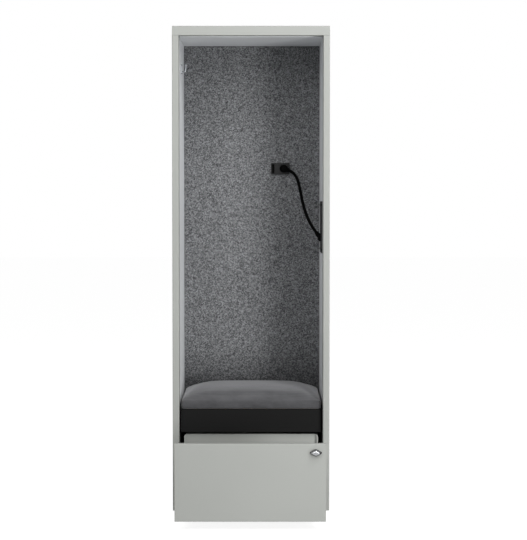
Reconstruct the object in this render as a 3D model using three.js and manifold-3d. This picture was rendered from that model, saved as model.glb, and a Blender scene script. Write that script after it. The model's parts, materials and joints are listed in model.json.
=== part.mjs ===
// Open-fronted steel seating niche with a felt back, an upholstered bench, a lockable drawer
// on ball-bearing slides, a coat hook and a power outlet with its lead.
// Millimetres, +Z up, +X to the right, +Y from the open front towards the back.
// The origin lies on the floor under the middle of the carcass, and the drawer stands drawn out.

import * as THREE from 'three';
import { mergeVertices } from 'three/addons/utils/BufferGeometryUtils.js';
import Module from 'manifold-3d';

const wasm = await Module();
wasm.setup();

// Carcass
const WIDTH = 600;
const DEPTH = 500;
const HEIGHT = 1850;
const SHEET = 1.2;
const BEND = 2.4;
const BEND_STEPS = 3;
const SEAM = 0.3;
const PAST = 1;
const WALL = 25;
const FRONT_LIP = 72;
const HEAD = 36;
const HEAD_LIP = 24;
const HEAD_BEND = 1.5;
const AIR_SLOT = 45;
const PAN_RISE = 30;
const LINER_FOLD = 8;
const REAR_FOLD = 20;

// Felt back
const REAR_WALL = 48;
const FELT = 12;

// Bench
const BENCH_HEIGHT = 388;
const BENCH_SHEET = 1.5;
const FASCIA_SETBACK = 26;
const FASCIA_HEIGHT = 90;
const FASCIA_TOP_FOLD = 24;
const FASCIA_LOWER_FOLD = 8;
const FASCIA_SIDE_GAP = 5.6;
const CHEEK_FLANGE = 4.4;
const CHEEK_SETBACK = 38;
const CHEEK_REAR_GAP = 24;
const BAR_WIDTH = 50;
const BAR_HEIGHT = 30;
const BAR_BRIM = 18;

// Cushion
const CUSHION_OVERHANG = 8;
const CUSHION_SIDE_GAP = 1.5;
const CUSHION_REAR_GAP = 2;
const CUSHION_EDGE = 34;
const CUSHION_ROLL = 12;
const CUSHION_ROLL_SQUARENESS = 3.5;
const CUSHION_CROWN = 24;
const CUSHION_CROWN_SQUARENESS = 6;
const CUSHION_SWELL = 2;
const CUSHION_DRAW = 2;
const CUSHION_CORNER = 0.004;
const CUSHION_TUCK = 3;
const CUSHION_COLUMNS = 20;
const CUSHION_ROWS = 16;
const BOARD = 12;
const BOARD_INSET = 14;
const BOARD_CORNER = 12;

// Drawer
const DRAWER_OUT = 400;
const FRONT_THICKNESS = 20;
const FRONT_HEIGHT = 282;
const FRONT_GAP = 2.5;
const FRONT_FLOOR_GAP = 3;
const BOX_REAR_GAP = 59.7;
const BOX_SIDE_TOP = 252;
const BOX_BACK_TOP = 290;
const BOX_BOTTOM = 45;
const BOX_RIM = 5;
const BOX_BACK_FOLD = 12;
const BOX_FOOT = 12;
const BOX_CORNER = 10;

// Ball-bearing slides, drawn for the right-hand side
const SLIDE_THICKNESS = 12.7;
const SLIDE_LENGTH = 400;
const SLIDE_HEIGHT = 45;
const SLIDE_Z = 150;
const SLIDE_SETBACK = 28;
const SLIDE_BEND = 1.2;
const MIDDLE_HEIGHT = 33.4;
const INNER_HEIGHT = 21.8;
const SLIDE_LIP = 4.9;
const WEB_GAP = 0.6;
const CAGE_SHEET = 0.8;
const CAGE_LENGTH = 140;
const CAGE_SETBACK = 158;
const OUTER_BALL = 4;
const INNER_BALL = 3.6;
const BALLS_PER_ROW = 6;
const BALL_PITCH = 24;

// Drawer lock
const LOCK_FROM_EDGE = 36.5;
const LOCK_FROM_TOP = 32;
const LOCK_BARREL = 18;
const LOCK_FLANGE = 25;
const LOCK_FLANGE_THICKNESS = 2.5;
const LOCK_SPINDLE = 8;
const LOCK_RUNNING_GAP = 0.3;
const LOCK_NUT = 22;
const LOCK_NUT_THICKNESS = 5;
const CAM_LENGTH = 32;
const CAM_WIDTH = 15;
const CAM_THICKNESS = 2;
const CAM_PLAY = 1.5;
const KNOB_LENGTH = 44;
const KNOB_HEIGHT = 26.5;
const KNOB_DEPTH = 17;
const KNOB_NECK = 3;
const KNOB_ROUNDNESS = 1.3;
const KNOB_POINTS = 36;
const KNOB_RINGS = 6;
const DOT = 6.6;
const DOT_X = 16.4;
const DOT_STANDS_PROUD = 0.5;

// Power outlet on the felt
const OUTLET_FROM_WALL = 159;
const OUTLET_Z = 1318;
const OUTLET_WIDTH = 76;
const OUTLET_HEIGHT = 46;
const OUTLET_PROUD = 6;
const OUTLET_RIM = 4;
const OUTLET_CORNER = 3;
const OUTLET_COVER = 1.5;
const OUTLET_DIVIDER = 1.6;
const NARROW_INSERT = 10;
const INSERT_RECESS = 1;
const INSERT_DEPTH = 38;
const BACK_BOX_DEPTH = 42;
const BACK_BOX_WALL = 1.6;
const WELL = 35.5;
const WELL_DEPTH = 17;
const WELL_MARGIN = 1.4;

// Plug and lead
const PLUG = 32;
const PLUG_STANDS_OUT = 20;
const PLUG_ROUND = 5;
const PIN = 4.8;
const PIN_SPACING = 19;
const PIN_LENGTH = 18;
const BOOT_LENGTH = 26;
const BOOT_ROOT = 17;
const BOOT_TIP = 14;
const BOOT_TILT = 0.34;
const BOOT_SWING = 0.47;
const LEAD = 12;
const LEAD_SIDES = 10;
const LEAD_STEPS = 20;
const LEAD_REACH_FROM_PLUG = 73;
const LEAD_REACH_FROM_GLAND = 143;

// Wall plate where the lead leaves the niche
const PLATE_SIZE = 200;
const PLATE_THICKNESS = 3;
const PLATE_CORNER = 8;
const PLATE_COVER = 15;
const PLATE_SETBACK = 182;
const PLATE_Z = 1085;
const PORT_DEPTH = 17.5;
const GLAND_BEHIND_MIDDLE = 8;
const GLAND_BELOW_MIDDLE = 44;
const GLAND_BALL = 13;
const GLAND_LENGTH = 30;
const GLAND_ROOT = 19;
const GLAND_TIP = 15;
const GLAND_TILT = 0.59;
const GLAND_SWING = 0.5;

// Coat hook on the left-hand wall
const HOOK_SETBACK = 218;
const HOOK_BELOW_CEILING = 111;
const HOOK_PLATE_HEIGHT = 38;
const HOOK_PLATE_WIDTH = 20;
const HOOK_PLATE_CORNER = 9;
const HOOK_PLATE = 3;
const HOOK_ROD = 7;
const HOOK_REACH = 18;
const HOOK_ARM_DEPTH = 11;
const HOOK_RISE = 16;
const HOOK_TIP = 9;

// Places worked out from the driving dimensions
const FRONT_Y = -DEPTH / 2;
const REAR_Y = DEPTH / 2;
const INNER_X = WIDTH / 2 - WALL;
const CLEAR_X = INNER_X - SEAM;
const CEILING_Z = HEIGHT - HEAD;
const CARRIER_Y = REAR_Y - REAR_WALL + SEAM;
const FELT_Y = CARRIER_Y - SEAM - FELT;
const FASCIA_Y = FRONT_Y + FASCIA_SETBACK;
const FASCIA_Z = BENCH_HEIGHT - FASCIA_HEIGHT;
const BENCH_UNDERSIDE = BENCH_HEIGHT - BENCH_SHEET;
const BACK_FACE_Y = FRONT_Y + FRONT_THICKNESS;
const FRONT_Z = PAN_RISE + FRONT_FLOOR_GAP;
const CHEEK_Y = FRONT_Y + CHEEK_SETBACK;
const CHEEK_X = CLEAR_X - CHEEK_FLANGE;
const BOX_X = CHEEK_X - SLIDE_THICKNESS - 2 * SEAM;
const BOX_REAR_Y = REAR_Y - BOX_REAR_GAP;
const DRAWER_FRONT_X = INNER_X - FRONT_GAP;
const FRONT_TOP = FRONT_Z + FRONT_HEIGHT;
const LOCK_X = DRAWER_FRONT_X - LOCK_FROM_EDGE;
const LOCK_Z = FRONT_TOP - LOCK_FROM_TOP;
const CAM_Y = FASCIA_Y + FASCIA_LOWER_FOLD + CAM_PLAY;
const PLATE_FACE_X = CLEAR_X - PLATE_THICKNESS;
const PLATE_Y = FRONT_Y + PLATE_SETBACK;
const GLAND_Y = PLATE_Y + GLAND_BEHIND_MIDDLE;
const GLAND_Z = PLATE_Z - GLAND_BELOW_MIDDLE;
const OUTLET_X = INNER_X - OUTLET_FROM_WALL;
const HOOK_Y = FRONT_Y + HOOK_SETBACK;
const HOOK_Z = CEILING_Z - HOOK_BELOW_CEILING;

// Finishes
function paint(color, roughness, metalness) {
  return new THREE.MeshStandardMaterial({ color, roughness, metalness });
}

const greySteel = () => paint(0xb0b2ae, 0.45, 0.1);
const paleSteel = () => paint(0xdcdde0, 0.45, 0.1);
const blackSteel = () => paint(0x1f1f20, 0.5, 0.1);
const zincSteel = () => paint(0xb9bcbf, 0.35, 0.9);
const chrome = () => paint(0xd8d8d8, 0.12, 1);
const felt = () => paint(0x57585a, 1, 0);
const velour = () => paint(0x6e6e70, 0.9, 0);
const wool = () => paint(0x4a4b48, 1, 0);
const plywood = () => paint(0xb08d5e, 0.7, 0);
const blackPlastic = () => paint(0x1a1a1b, 0.55, 0);
const softBlack = () => paint(0x121213, 0.65, 0);

// Scene graph
const niche = new THREE.Group();
const carcass = new THREE.Group();
const bench = new THREE.Group();
const power = new THREE.Group();
const drawer = new THREE.Group();
const lock = new THREE.Group();
niche.add(carcass, bench, power, drawer);
drawer.add(lock);
drawer.position.y = -DRAWER_OUT;
lock.position.set(LOCK_X, 0, LOCK_Z);

function add(group, name, geometry, material) {
  const mesh = new THREE.Mesh(geometry, material);
  mesh.name = name;
  group.add(mesh);
}

// Joining and cutting of closed solids
function toSolid(geometry) {
  const bare = geometry.index ? geometry.toNonIndexed() : geometry.clone();
  bare.deleteAttribute('normal');
  bare.deleteAttribute('uv');
  const merged = mergeVertices(bare, 1e-4);
  return new wasm.Manifold(new wasm.Mesh({
    numProp: 3,
    vertProperties: Float32Array.from(merged.attributes.position.array),
    triVerts: Uint32Array.from(merged.index.array),
  }));
}

function toGeometry(solid) {
  const mesh = solid.getMesh();
  const geometry = new THREE.BufferGeometry();
  geometry.setAttribute('position', new THREE.BufferAttribute(mesh.vertProperties, 3));
  geometry.setIndex(new THREE.BufferAttribute(mesh.triVerts, 1));
  return geometry;
}

function join(...geometries) {
  return toGeometry(geometries.map(toSolid).reduce((whole, solid) => whole.add(solid)));
}

function cut(geometry, ...tools) {
  return toGeometry(tools.map(toSolid).reduce((whole, tool) => whole.subtract(tool), toSolid(geometry)));
}

// Basic solids
function block(x0, x1, y0, y1, z0, z1) {
  const geometry = new THREE.BoxGeometry(x1 - x0, y1 - y0, z1 - z0);
  return geometry.translate((x0 + x1) / 2, (y0 + y1) / 2, (z0 + z1) / 2);
}

function extrude(shape, depth) {
  return new THREE.ExtrudeGeometry(shape, { depth, bevelEnabled: false, curveSegments: 6 });
}

function alongZ(shape, z0, z1) {
  return extrude(shape, z1 - z0).translate(0, 0, z0);
}

// The shape's axes are X and Z, and it is swept from y0 to y1.
function alongY(shape, y0, y1) {
  return extrude(shape, y1 - y0).rotateX(Math.PI / 2).translate(0, y1, 0);
}

// The shape's axes are Y and Z, and it is swept from x0 to x1.
function alongX(shape, x0, x1) {
  const turn = new THREE.Matrix4().makeBasis(
    new THREE.Vector3(0, 1, 0), new THREE.Vector3(0, 0, 1), new THREE.Vector3(1, 0, 0));
  return extrude(shape, x1 - x0).applyMatrix4(turn).translate(x0, 0, 0);
}

function rodAlongY(diameter, y0, y1, x = 0, z = 0, sides = 24) {
  const geometry = new THREE.CylinderGeometry(diameter / 2, diameter / 2, y1 - y0, sides);
  return geometry.translate(0, (y0 + y1) / 2, 0).translate(x, 0, z);
}

// Arc that rounds one corner of a line: its start, its centre and the angle it turns through.
function cornerArc(before, corner, after, radius) {
  const into = corner.clone().sub(before).normalize();
  const outOf = after.clone().sub(corner).normalize();
  const turn = Math.atan2(into.cross(outOf), into.dot(outOf));
  const start = corner.clone().addScaledVector(into, -radius * Math.tan(Math.abs(turn) / 2));
  const inward = new THREE.Vector2(-into.y, into.x).multiplyScalar(Math.sign(turn) * radius);
  return { into, start, centre: start.clone().add(inward), turn };
}

// Closed outline from corners given as [a, b, radius].
function roundedPolygon(corners) {
  const line = corners.map(([a, b]) => new THREE.Vector2(a, b));
  const points = corners.flatMap(([, , radius], index) => {
    if (!radius) return [line[index]];
    const before = line[(index + line.length - 1) % line.length];
    const after = line[(index + 1) % line.length];
    const { start, centre, turn } = cornerArc(before, line[index], after, radius);
    const steps = Math.max(BEND_STEPS, Math.round(radius / 2));
    const angles = Array.from({ length: steps + 1 }, (_, step) => turn * step / steps);
    return angles.map((angle) => start.clone().rotateAround(centre, angle));
  });
  return new THREE.Shape(points);
}

// Rectangle whose corner radii are named from the lower left round to the upper left.
function roundedOutline(left, right, low, high, [lowLeft, lowRight, highRight, highLeft]) {
  return roundedPolygon([
    [left, low, lowLeft], [right, low, lowRight], [right, high, highRight], [left, high, highLeft],
  ]);
}

// Rectangle about a point, with one radius at all its corners.
function centredOutline(a, b, halfA, halfB, radius) {
  return roundedOutline(a - halfA, a + halfA, b - halfB, b + halfB, [radius, radius, radius, radius]);
}

// Section of a folded sheet: a ribbon of even thickness along a line with rounded bends.
function foldedSection(corners, thickness, radius) {
  const line = corners.map(([a, b]) => new THREE.Vector2(a, b));
  const last = line.length - 1;
  const stations = [];
  const station = (point, direction) => {
    stations.push([point, new THREE.Vector2(-direction.y, direction.x)]);
  };
  station(line[0], line[1].clone().sub(line[0]).normalize());
  for (let index = 1; index < last; index += 1) {
    const { into, start, centre, turn } = cornerArc(line[index - 1], line[index], line[index + 1], radius);
    for (let step = 0; step <= BEND_STEPS; step += 1) {
      const angle = turn * step / BEND_STEPS;
      station(start.clone().rotateAround(centre, angle), into.clone().rotateAround(new THREE.Vector2(), angle));
    }
  }
  station(line[last], line[last].clone().sub(line[last - 1]).normalize());
  const right = stations.map(([point, normal]) => point.clone().addScaledVector(normal, -thickness / 2));
  const left = stations.map(([point, normal]) => point.clone().addScaledVector(normal, thickness / 2));
  return new THREE.Shape([...right, ...left.reverse()]);
}

function steelSection(corners) {
  return foldedSection(corners, SHEET, BEND);
}

const mirrored = (corners, side) => corners.map(([a, b]) => [a * side, b]);
const HALF_SHEET = SHEET / 2;
const OUTSIDE_BEND = BEND + HALF_SHEET;
const INSIDE_BEND = BEND - HALF_SHEET;
const SIDES = [['left', -1], ['right', 1]];

// Places a block on the left or right from distances to the middle plane.
function sideBlock(side, near, far, y0, y1, z0, z1) {
  return block(Math.min(side * near, side * far), Math.max(side * near, side * far), y0, y1, z0, z1);
}

// Cut-outs that several pieces share
const OUTLET_CUT_X = OUTLET_WIDTH / 2 - OUTLET_COVER;
const OUTLET_CUT_Z = OUTLET_HEIGHT / 2 - OUTLET_COVER;
function outletCut(y0, y1) {
  const [left, right] = [OUTLET_X - OUTLET_CUT_X, OUTLET_X + OUTLET_CUT_X];
  return block(left, right, y0, y1, OUTLET_Z - OUTLET_CUT_Z, OUTLET_Z + OUTLET_CUT_Z);
}

const PORT_HALF = PLATE_SIZE / 2 - PLATE_COVER;
function portCut(x0, x1) {
  return block(x0, x1, PLATE_Y - PORT_HALF, PLATE_Y + PORT_HALF, PLATE_Z - PORT_HALF, PLATE_Z + PORT_HALF);
}

// Side walls: a folded skin with the front face, a liner and a core between them
function sideSkin(side) {
  const lipX = INNER_X + HALF_SHEET;
  const outerX = WIDTH / 2 - HALF_SHEET;
  const frontY = FRONT_Y + HALF_SHEET;
  const rearY = REAR_Y - HALF_SHEET;
  const corners = [
    [lipX, FRONT_Y + FRONT_LIP], [lipX, frontY], [outerX, frontY], [outerX, rearY], [INNER_X, rearY],
  ];
  return alongZ(steelSection(mirrored(corners, side)), 0, CEILING_Z - SEAM);
}

function sideLiner(side) {
  const x = INNER_X + HALF_SHEET;
  const frontY = FRONT_Y + FRONT_LIP + SEAM + HALF_SHEET;
  const rearY = REAR_Y - SHEET - SEAM - HALF_SHEET;
  const corners = [[x + LINER_FOLD, frontY], [x, frontY], [x, rearY], [x + LINER_FOLD, rearY]];
  return alongZ(steelSection(mirrored(corners, side)), 0, CEILING_Z - SEAM);
}

function sideCore(side) {
  const frontY = FRONT_Y + FRONT_LIP + SHEET + 2 * SEAM + OUTSIDE_BEND;
  const rearY = REAR_Y - 2 * SHEET - 2 * SEAM - OUTSIDE_BEND;
  const near = INNER_X + SHEET + SEAM;
  const far = WIDTH / 2 - SHEET - SEAM;
  return sideBlock(side, near, far, frontY, rearY, PAN_RISE, CEILING_Z - SEAM);
}

for (const [name, side] of SIDES) {
  const hasPort = side > 0;
  const liner = sideLiner(side);
  const core = sideCore(side);
  const port = portCut(INNER_X - PAST, INNER_X + PORT_DEPTH);
  add(carcass, `${name}_side_skin`, sideSkin(side), greySteel());
  add(carcass, `${name}_side_liner`, hasPort ? cut(liner, port) : liner, paleSteel());
  add(carcass, `${name}_side_core`, hasPort ? cut(core, port) : core, wool());
}

// Trays: a solid across the niche, hollowed from its open side
function tray(outside, hollow, halfWidth) {
  const inside = halfWidth - SHEET;
  return cut(alongX(outside, -halfWidth, halfWidth), alongX(hollow, -inside, inside));
}

function roofCap() {
  const round = OUTSIDE_BEND;
  const outside = roundedOutline(FRONT_Y, REAR_Y, CEILING_Z, HEIGHT, [HEAD_BEND, 0, round, round]);
  const hollow = roundedPolygon([
    [FRONT_Y + HEAD_LIP, CEILING_Z - PAST, 0],
    [REAR_Y - SHEET, CEILING_Z - PAST, 0],
    [REAR_Y - SHEET, HEIGHT - SHEET, INSIDE_BEND],
    [FRONT_Y + SHEET, HEIGHT - SHEET, INSIDE_BEND],
    [FRONT_Y + SHEET, CEILING_Z + SHEET, HEAD_BEND - SHEET],
    [FRONT_Y + HEAD_LIP, CEILING_Z + SHEET, 0],
  ]);
  return tray(outside, hollow, WIDTH / 2);
}

function basePan() {
  const outside = roundedOutline(FRONT_Y, REAR_Y, 0, PAN_RISE, [OUTSIDE_BEND, OUTSIDE_BEND, 0, 0]);
  const hollow = roundedOutline(
    FRONT_Y + SHEET, REAR_Y - SHEET, SHEET, PAN_RISE + PAST, [INSIDE_BEND, INSIDE_BEND, 0, 0]);
  return tray(outside, hollow, CLEAR_X);
}

function ceilingLiner() {
  const z = CEILING_Z + HALF_SHEET;
  const front = FRONT_Y + HEAD_LIP + AIR_SLOT;
  const corners = [[front, z + LINER_FOLD], [front, z], [CARRIER_Y - SEAM, z]];
  return alongX(steelSection(corners), -CLEAR_X, CLEAR_X);
}

function roofCore() {
  const front = FRONT_Y + HEAD_LIP + AIR_SLOT + OUTSIDE_BEND;
  const rear = REAR_Y - SHEET - SEAM - OUTSIDE_BEND;
  return block(-CLEAR_X, CLEAR_X, front, rear, CEILING_Z + SHEET + SEAM, HEIGHT - SHEET - SEAM);
}

// Back of the niche: outer panel, core, liner and felt
function rearPanel() {
  const x = CLEAR_X - HALF_SHEET;
  const y = REAR_Y - HALF_SHEET;
  const corners = [[-x, y - REAR_FOLD], [-x, y], [x, y], [x, y - REAR_FOLD]];
  return alongZ(steelSection(corners), PAN_RISE + SEAM, CEILING_Z - SEAM);
}

function feltCarrier() {
  const x = CLEAR_X - HALF_SHEET;
  const y = CARRIER_Y + HALF_SHEET;
  const fold = REAR_Y - SHEET - SEAM - REAR_FOLD;
  const corners = [[-x, fold], [-x, y], [x, y], [x, fold]];
  const sheet = alongZ(steelSection(corners), BENCH_HEIGHT + SEAM, CEILING_Z - SEAM);
  return cut(sheet, outletCut(CARRIER_Y - PAST, CARRIER_Y + SHEET + PAST));
}

function rearCore() {
  const x = CLEAR_X - SHEET - OUTSIDE_BEND;
  const y = CARRIER_Y + SHEET + SEAM;
  const rear = REAR_Y - SHEET - SEAM;
  const slab = block(-x, x, y, rear, BENCH_HEIGHT + SEAM, CEILING_Z - SEAM);
  return cut(slab, outletCut(y - PAST, rear + PAST));
}

function feltLining() {
  const slab = block(-CLEAR_X, CLEAR_X, FELT_Y, FELT_Y + FELT, BENCH_HEIGHT + SEAM, CEILING_Z - SEAM);
  return cut(slab, outletCut(FELT_Y - PAST, FELT_Y + FELT + PAST));
}

add(carcass, 'roof_cap', roofCap(), greySteel());
add(carcass, 'roof_core', roofCore(), wool());
add(carcass, 'ceiling_liner', ceilingLiner(), paleSteel());
add(carcass, 'rear_panel', rearPanel(), greySteel());
add(carcass, 'rear_core', rearCore(), wool());
add(carcass, 'felt_carrier', feltCarrier(), greySteel());
add(carcass, 'felt_lining', feltLining(), felt());
add(carcass, 'base_pan', basePan(), greySteel());

// Bench: black folded steel that carries the cushion and the slides
const FASCIA_X = INNER_X - FASCIA_SIDE_GAP;
const HALF_BENCH_SHEET = BENCH_SHEET / 2;

function benchFascia() {
  const y = FASCIA_Y + HALF_BENCH_SHEET;
  const low = FASCIA_Z + HALF_BENCH_SHEET;
  const high = BENCH_UNDERSIDE - SEAM - HALF_BENCH_SHEET;
  const corners = [
    [FASCIA_Y + FASCIA_LOWER_FOLD, low], [y, low], [y, high], [FASCIA_Y + FASCIA_TOP_FOLD, high],
  ];
  return alongX(foldedSection(corners, BENCH_SHEET, BEND), -FASCIA_X, FASCIA_X);
}

function benchCheek(side) {
  const web = CHEEK_X + HALF_BENCH_SHEET;
  const low = PAN_RISE + SEAM + HALF_BENCH_SHEET;
  const high = BENCH_UNDERSIDE - SEAM - HALF_BENCH_SHEET;
  const corners = [[CLEAR_X, low], [web, low], [web, high], [CLEAR_X, high]];
  const section = foldedSection(mirrored(corners, side), BENCH_SHEET, HALF_BENCH_SHEET);
  return alongY(section, CHEEK_Y, REAR_Y - CHEEK_REAR_GAP);
}

// A hat section: brim, wall, crown, wall and brim
function benchBar() {
  const middle = (FASCIA_Y + FELT_Y) / 2;
  const high = BENCH_UNDERSIDE - SEAM - HALF_BENCH_SHEET;
  const low = high - BAR_HEIGHT;
  const half = BAR_WIDTH / 2;
  const corners = [
    [middle - half - BAR_BRIM, high], [middle - half, high], [middle - half, low],
    [middle + half, low], [middle + half, high], [middle + half + BAR_BRIM, high],
  ];
  return alongX(foldedSection(corners, BENCH_SHEET, BEND), -FASCIA_X, FASCIA_X);
}

function benchTop() {
  return block(-CLEAR_X, CLEAR_X, FASCIA_Y, CARRIER_Y - SEAM, BENCH_UNDERSIDE, BENCH_HEIGHT);
}

add(bench, 'bench_top', benchTop(), blackSteel());
add(bench, 'bench_fascia', benchFascia(), blackSteel());
add(bench, 'bench_bar', benchBar(), blackSteel());
for (const [name, side] of SIDES) {
  add(bench, `${name}_cheek`, benchCheek(side), blackSteel());
}

// Cushion: arched from side to side, with a rolled rim over upright edges that draw in between the corners
const CUSHION_BASE = BENCH_HEIGHT + SEAM;
const CUSHION_HALF_WIDTH = INNER_X - CUSHION_SIDE_GAP;
const CUSHION_FRONT_Y = FASCIA_Y - CUSHION_OVERHANG;
const CUSHION_REAR_Y = FELT_Y - CUSHION_REAR_GAP;
const CUSHION_MIDDLE_Y = (CUSHION_FRONT_Y + CUSHION_REAR_Y) / 2;
const CUSHION_HALF_DEPTH = (CUSHION_REAR_Y - CUSHION_FRONT_Y) / 2;
const BOARD_X = CUSHION_HALF_WIDTH - BOARD_INSET;
const BOARD_HALF_DEPTH = CUSHION_HALF_DEPTH - BOARD_INSET;

function rolledRim(t) {
  return Math.max(0, 1 - Math.abs(t) ** CUSHION_ROLL_SQUARENESS) ** (1 / CUSHION_ROLL_SQUARENESS);
}

function cushionTop(u, v) {
  const arch = 1 - Math.abs(u) ** CUSHION_CROWN_SQUARENESS;
  const crown = arch * (CUSHION_CROWN + CUSHION_SWELL * (1 - v * v));
  return CUSHION_BASE + CUSHION_EDGE + CUSHION_ROLL * rolledRim(u) * rolledRim(v) + crown;
}

function cushionPoint(u, v, tuck, z) {
  const corner = 1 - CUSHION_CORNER * (u * v) ** 8;
  const x = u * (CUSHION_HALF_WIDTH - CUSHION_DRAW * (1 - v * v) - tuck) * corner;
  const y = v * (CUSHION_HALF_DEPTH - CUSHION_DRAW * (1 - u * u) - tuck) * corner;
  return [x, CUSHION_MIDDLE_Y + y, z];
}

function cushionGrid(height, tuck, flip) {
  const spread = (index, count) => Math.sin(Math.PI / 2 * (2 * index / count - 1));
  const at = (i, j) => {
    const u = spread(i, CUSHION_COLUMNS);
    const v = spread(j, CUSHION_ROWS);
    return cushionPoint(u, v, tuck, height(u, v));
  };
  const faces = [];
  for (let i = 0; i < CUSHION_COLUMNS; i += 1) {
    for (let j = 0; j < CUSHION_ROWS; j += 1) {
      const quad = [at(i, j), at(i + 1, j), at(i + 1, j + 1), at(i, j + 1)];
      faces.push(flip ? quad.reverse() : quad);
    }
  }
  return { faces, at };
}

function cushion() {
  const top = cushionGrid(cushionTop, 0, false);
  const base = cushionGrid(() => CUSHION_BASE, CUSHION_TUCK, true);
  const rim = [];
  for (let i = 0; i < CUSHION_COLUMNS; i += 1) rim.push([i, 0]);
  for (let j = 0; j < CUSHION_ROWS; j += 1) rim.push([CUSHION_COLUMNS, j]);
  for (let i = CUSHION_COLUMNS; i > 0; i -= 1) rim.push([i, CUSHION_ROWS]);
  for (let j = CUSHION_ROWS; j > 0; j -= 1) rim.push([0, j]);
  const faces = [...top.faces, ...base.faces];
  rim.forEach(([i, j], index) => {
    const [k, l] = rim[(index + 1) % rim.length];
    faces.push([base.at(i, j), base.at(k, l), top.at(k, l), top.at(i, j)]);
  });
  const positions = faces.flatMap(([a, b, c, d]) => [...a, ...b, ...c, ...a, ...c, ...d]);
  const geometry = new THREE.BufferGeometry();
  geometry.setAttribute('position', new THREE.Float32BufferAttribute(positions, 3));
  return geometry;
}

function boardOutline(grow) {
  return centredOutline(0, CUSHION_MIDDLE_Y, BOARD_X + grow, BOARD_HALF_DEPTH + grow, BOARD_CORNER + grow);
}

const boardTop = CUSHION_BASE + BOARD;
const boardPocket = alongZ(boardOutline(SEAM), CUSHION_BASE - PAST, boardTop + SEAM);
add(bench, 'seat_board', alongZ(boardOutline(0), CUSHION_BASE, boardTop), plywood());
add(bench, 'seat_cushion', cut(cushion(), boardPocket), velour());

// Drawer, drawn shut: its group carries it out to where it stands open
const BACKING_EDGE = SHEET + SEAM;

function lockHole(y0, y1) {
  return rodAlongY(LOCK_BARREL + 2 * SEAM, y0, y1, LOCK_X, LOCK_Z);
}

function drawerFront() {
  const outside = roundedOutline(FRONT_Y, BACK_FACE_Y, FRONT_Z, FRONT_TOP, [OUTSIDE_BEND, 0, 0, OUTSIDE_BEND]);
  const hollow = roundedOutline(
    FRONT_Y + SHEET, BACK_FACE_Y + PAST, FRONT_Z + SHEET, FRONT_TOP - SHEET, [INSIDE_BEND, 0, 0, INSIDE_BEND]);
  return cut(tray(outside, hollow, DRAWER_FRONT_X), lockHole(FRONT_Y - PAST, BACK_FACE_Y + PAST));
}

function drawerBacking() {
  const x = DRAWER_FRONT_X - BACKING_EDGE;
  const [low, high] = [FRONT_Z + BACKING_EDGE, FRONT_TOP - BACKING_EDGE];
  const plate = block(-x, x, BACK_FACE_Y - SHEET, BACK_FACE_Y, low, high);
  return cut(plate, lockHole(FRONT_Y, BACK_FACE_Y + PAST));
}

function drawerSide(side) {
  const x = BOX_X - HALF_SHEET;
  const low = BOX_BOTTOM + HALF_SHEET;
  const high = BOX_SIDE_TOP - HALF_SHEET;
  const corners = [[BOX_X - BOX_FOOT, low], [x, low], [x, high], [BOX_X - BOX_RIM, high]];
  return alongY(steelSection(mirrored(corners, side)), BACK_FACE_Y + SEAM, BOX_REAR_Y);
}

function drawerBottom() {
  const z = BOX_BOTTOM + SHEET + SEAM;
  const x = BOX_X - SHEET - SEAM - OUTSIDE_BEND;
  return block(-x, x, BACK_FACE_Y + SEAM, BOX_REAR_Y, z, z + SHEET);
}

// The back stands above the sides, where its upright edges fold forward and end in a rim
function drawerBack() {
  const face = BOX_REAR_Y + SEAM;
  const front = face - BOX_BACK_FOLD;
  const [low, high] = [BOX_BOTTOM - PAST, BOX_BACK_TOP + PAST];
  const outline = roundedOutline(-BOX_X, BOX_X, BOX_BOTTOM, BOX_BACK_TOP, [0, 0, BOX_CORNER, BOX_CORNER]);
  const solid = alongY(outline, front, face + SHEET);
  const hollow = block(SHEET - BOX_X, BOX_X - SHEET, front + SHEET, face, low, high);
  const mouth = block(BOX_RIM - BOX_X, BOX_X - BOX_RIM, front - PAST, front + SHEET + PAST, low, high);
  const besideSides = block(-BOX_X - PAST, BOX_X + PAST, front - PAST, face, low, BOX_SIDE_TOP + SEAM);
  return cut(cut(cut(solid, hollow), mouth), besideSides);
}

add(drawer, 'drawer_front', drawerFront(), greySteel());
add(drawer, 'drawer_front_backing', drawerBacking(), greySteel());
for (const [name, side] of SIDES) {
  add(drawer, `drawer_${name}_side`, drawerSide(side), greySteel());
}
add(drawer, 'drawer_bottom', drawerBottom(), greySteel());
add(drawer, 'drawer_back', drawerBack(), greySteel());

// Ball-bearing slides: three nested members and a ball cage in each of the two races
const SLIDE_FAR_X = CHEEK_X - SEAM;
const SLIDE_NEAR_X = SLIDE_FAR_X - SLIDE_THICKNESS;
const OUTER_WEB_X = SLIDE_FAR_X - HALF_SHEET;
const OUTER_CAGE_X = OUTER_WEB_X - HALF_SHEET - WEB_GAP - CAGE_SHEET / 2;
const MIDDLE_WEB_X = OUTER_CAGE_X - CAGE_SHEET / 2 - WEB_GAP - HALF_SHEET;
const INNER_CAGE_X = MIDDLE_WEB_X - HALF_SHEET - WEB_GAP - CAGE_SHEET / 2;
const INNER_FLANGE_X = INNER_CAGE_X - CAGE_SHEET / 2 - WEB_GAP;
const LIP_X = SLIDE_NEAR_X + SHEET + SEAM + HALF_SHEET;
const SLIDE_Y = FRONT_Y + SLIDE_SETBACK;

// A channel that opens towards the middle of the niche and whose flanges end in lips.
function lippedChannel(webX, height) {
  const flange = height / 2 - HALF_SHEET;
  const lip = height / 2 - SLIDE_LIP;
  return [[LIP_X, lip], [LIP_X, flange], [webX, flange], [webX, -flange], [LIP_X, -flange], [LIP_X, -lip]];
}

function plainChannel(webX, tipX, flange) {
  return [[tipX, flange], [webX, flange], [webX, -flange], [tipX, -flange]];
}

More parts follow.
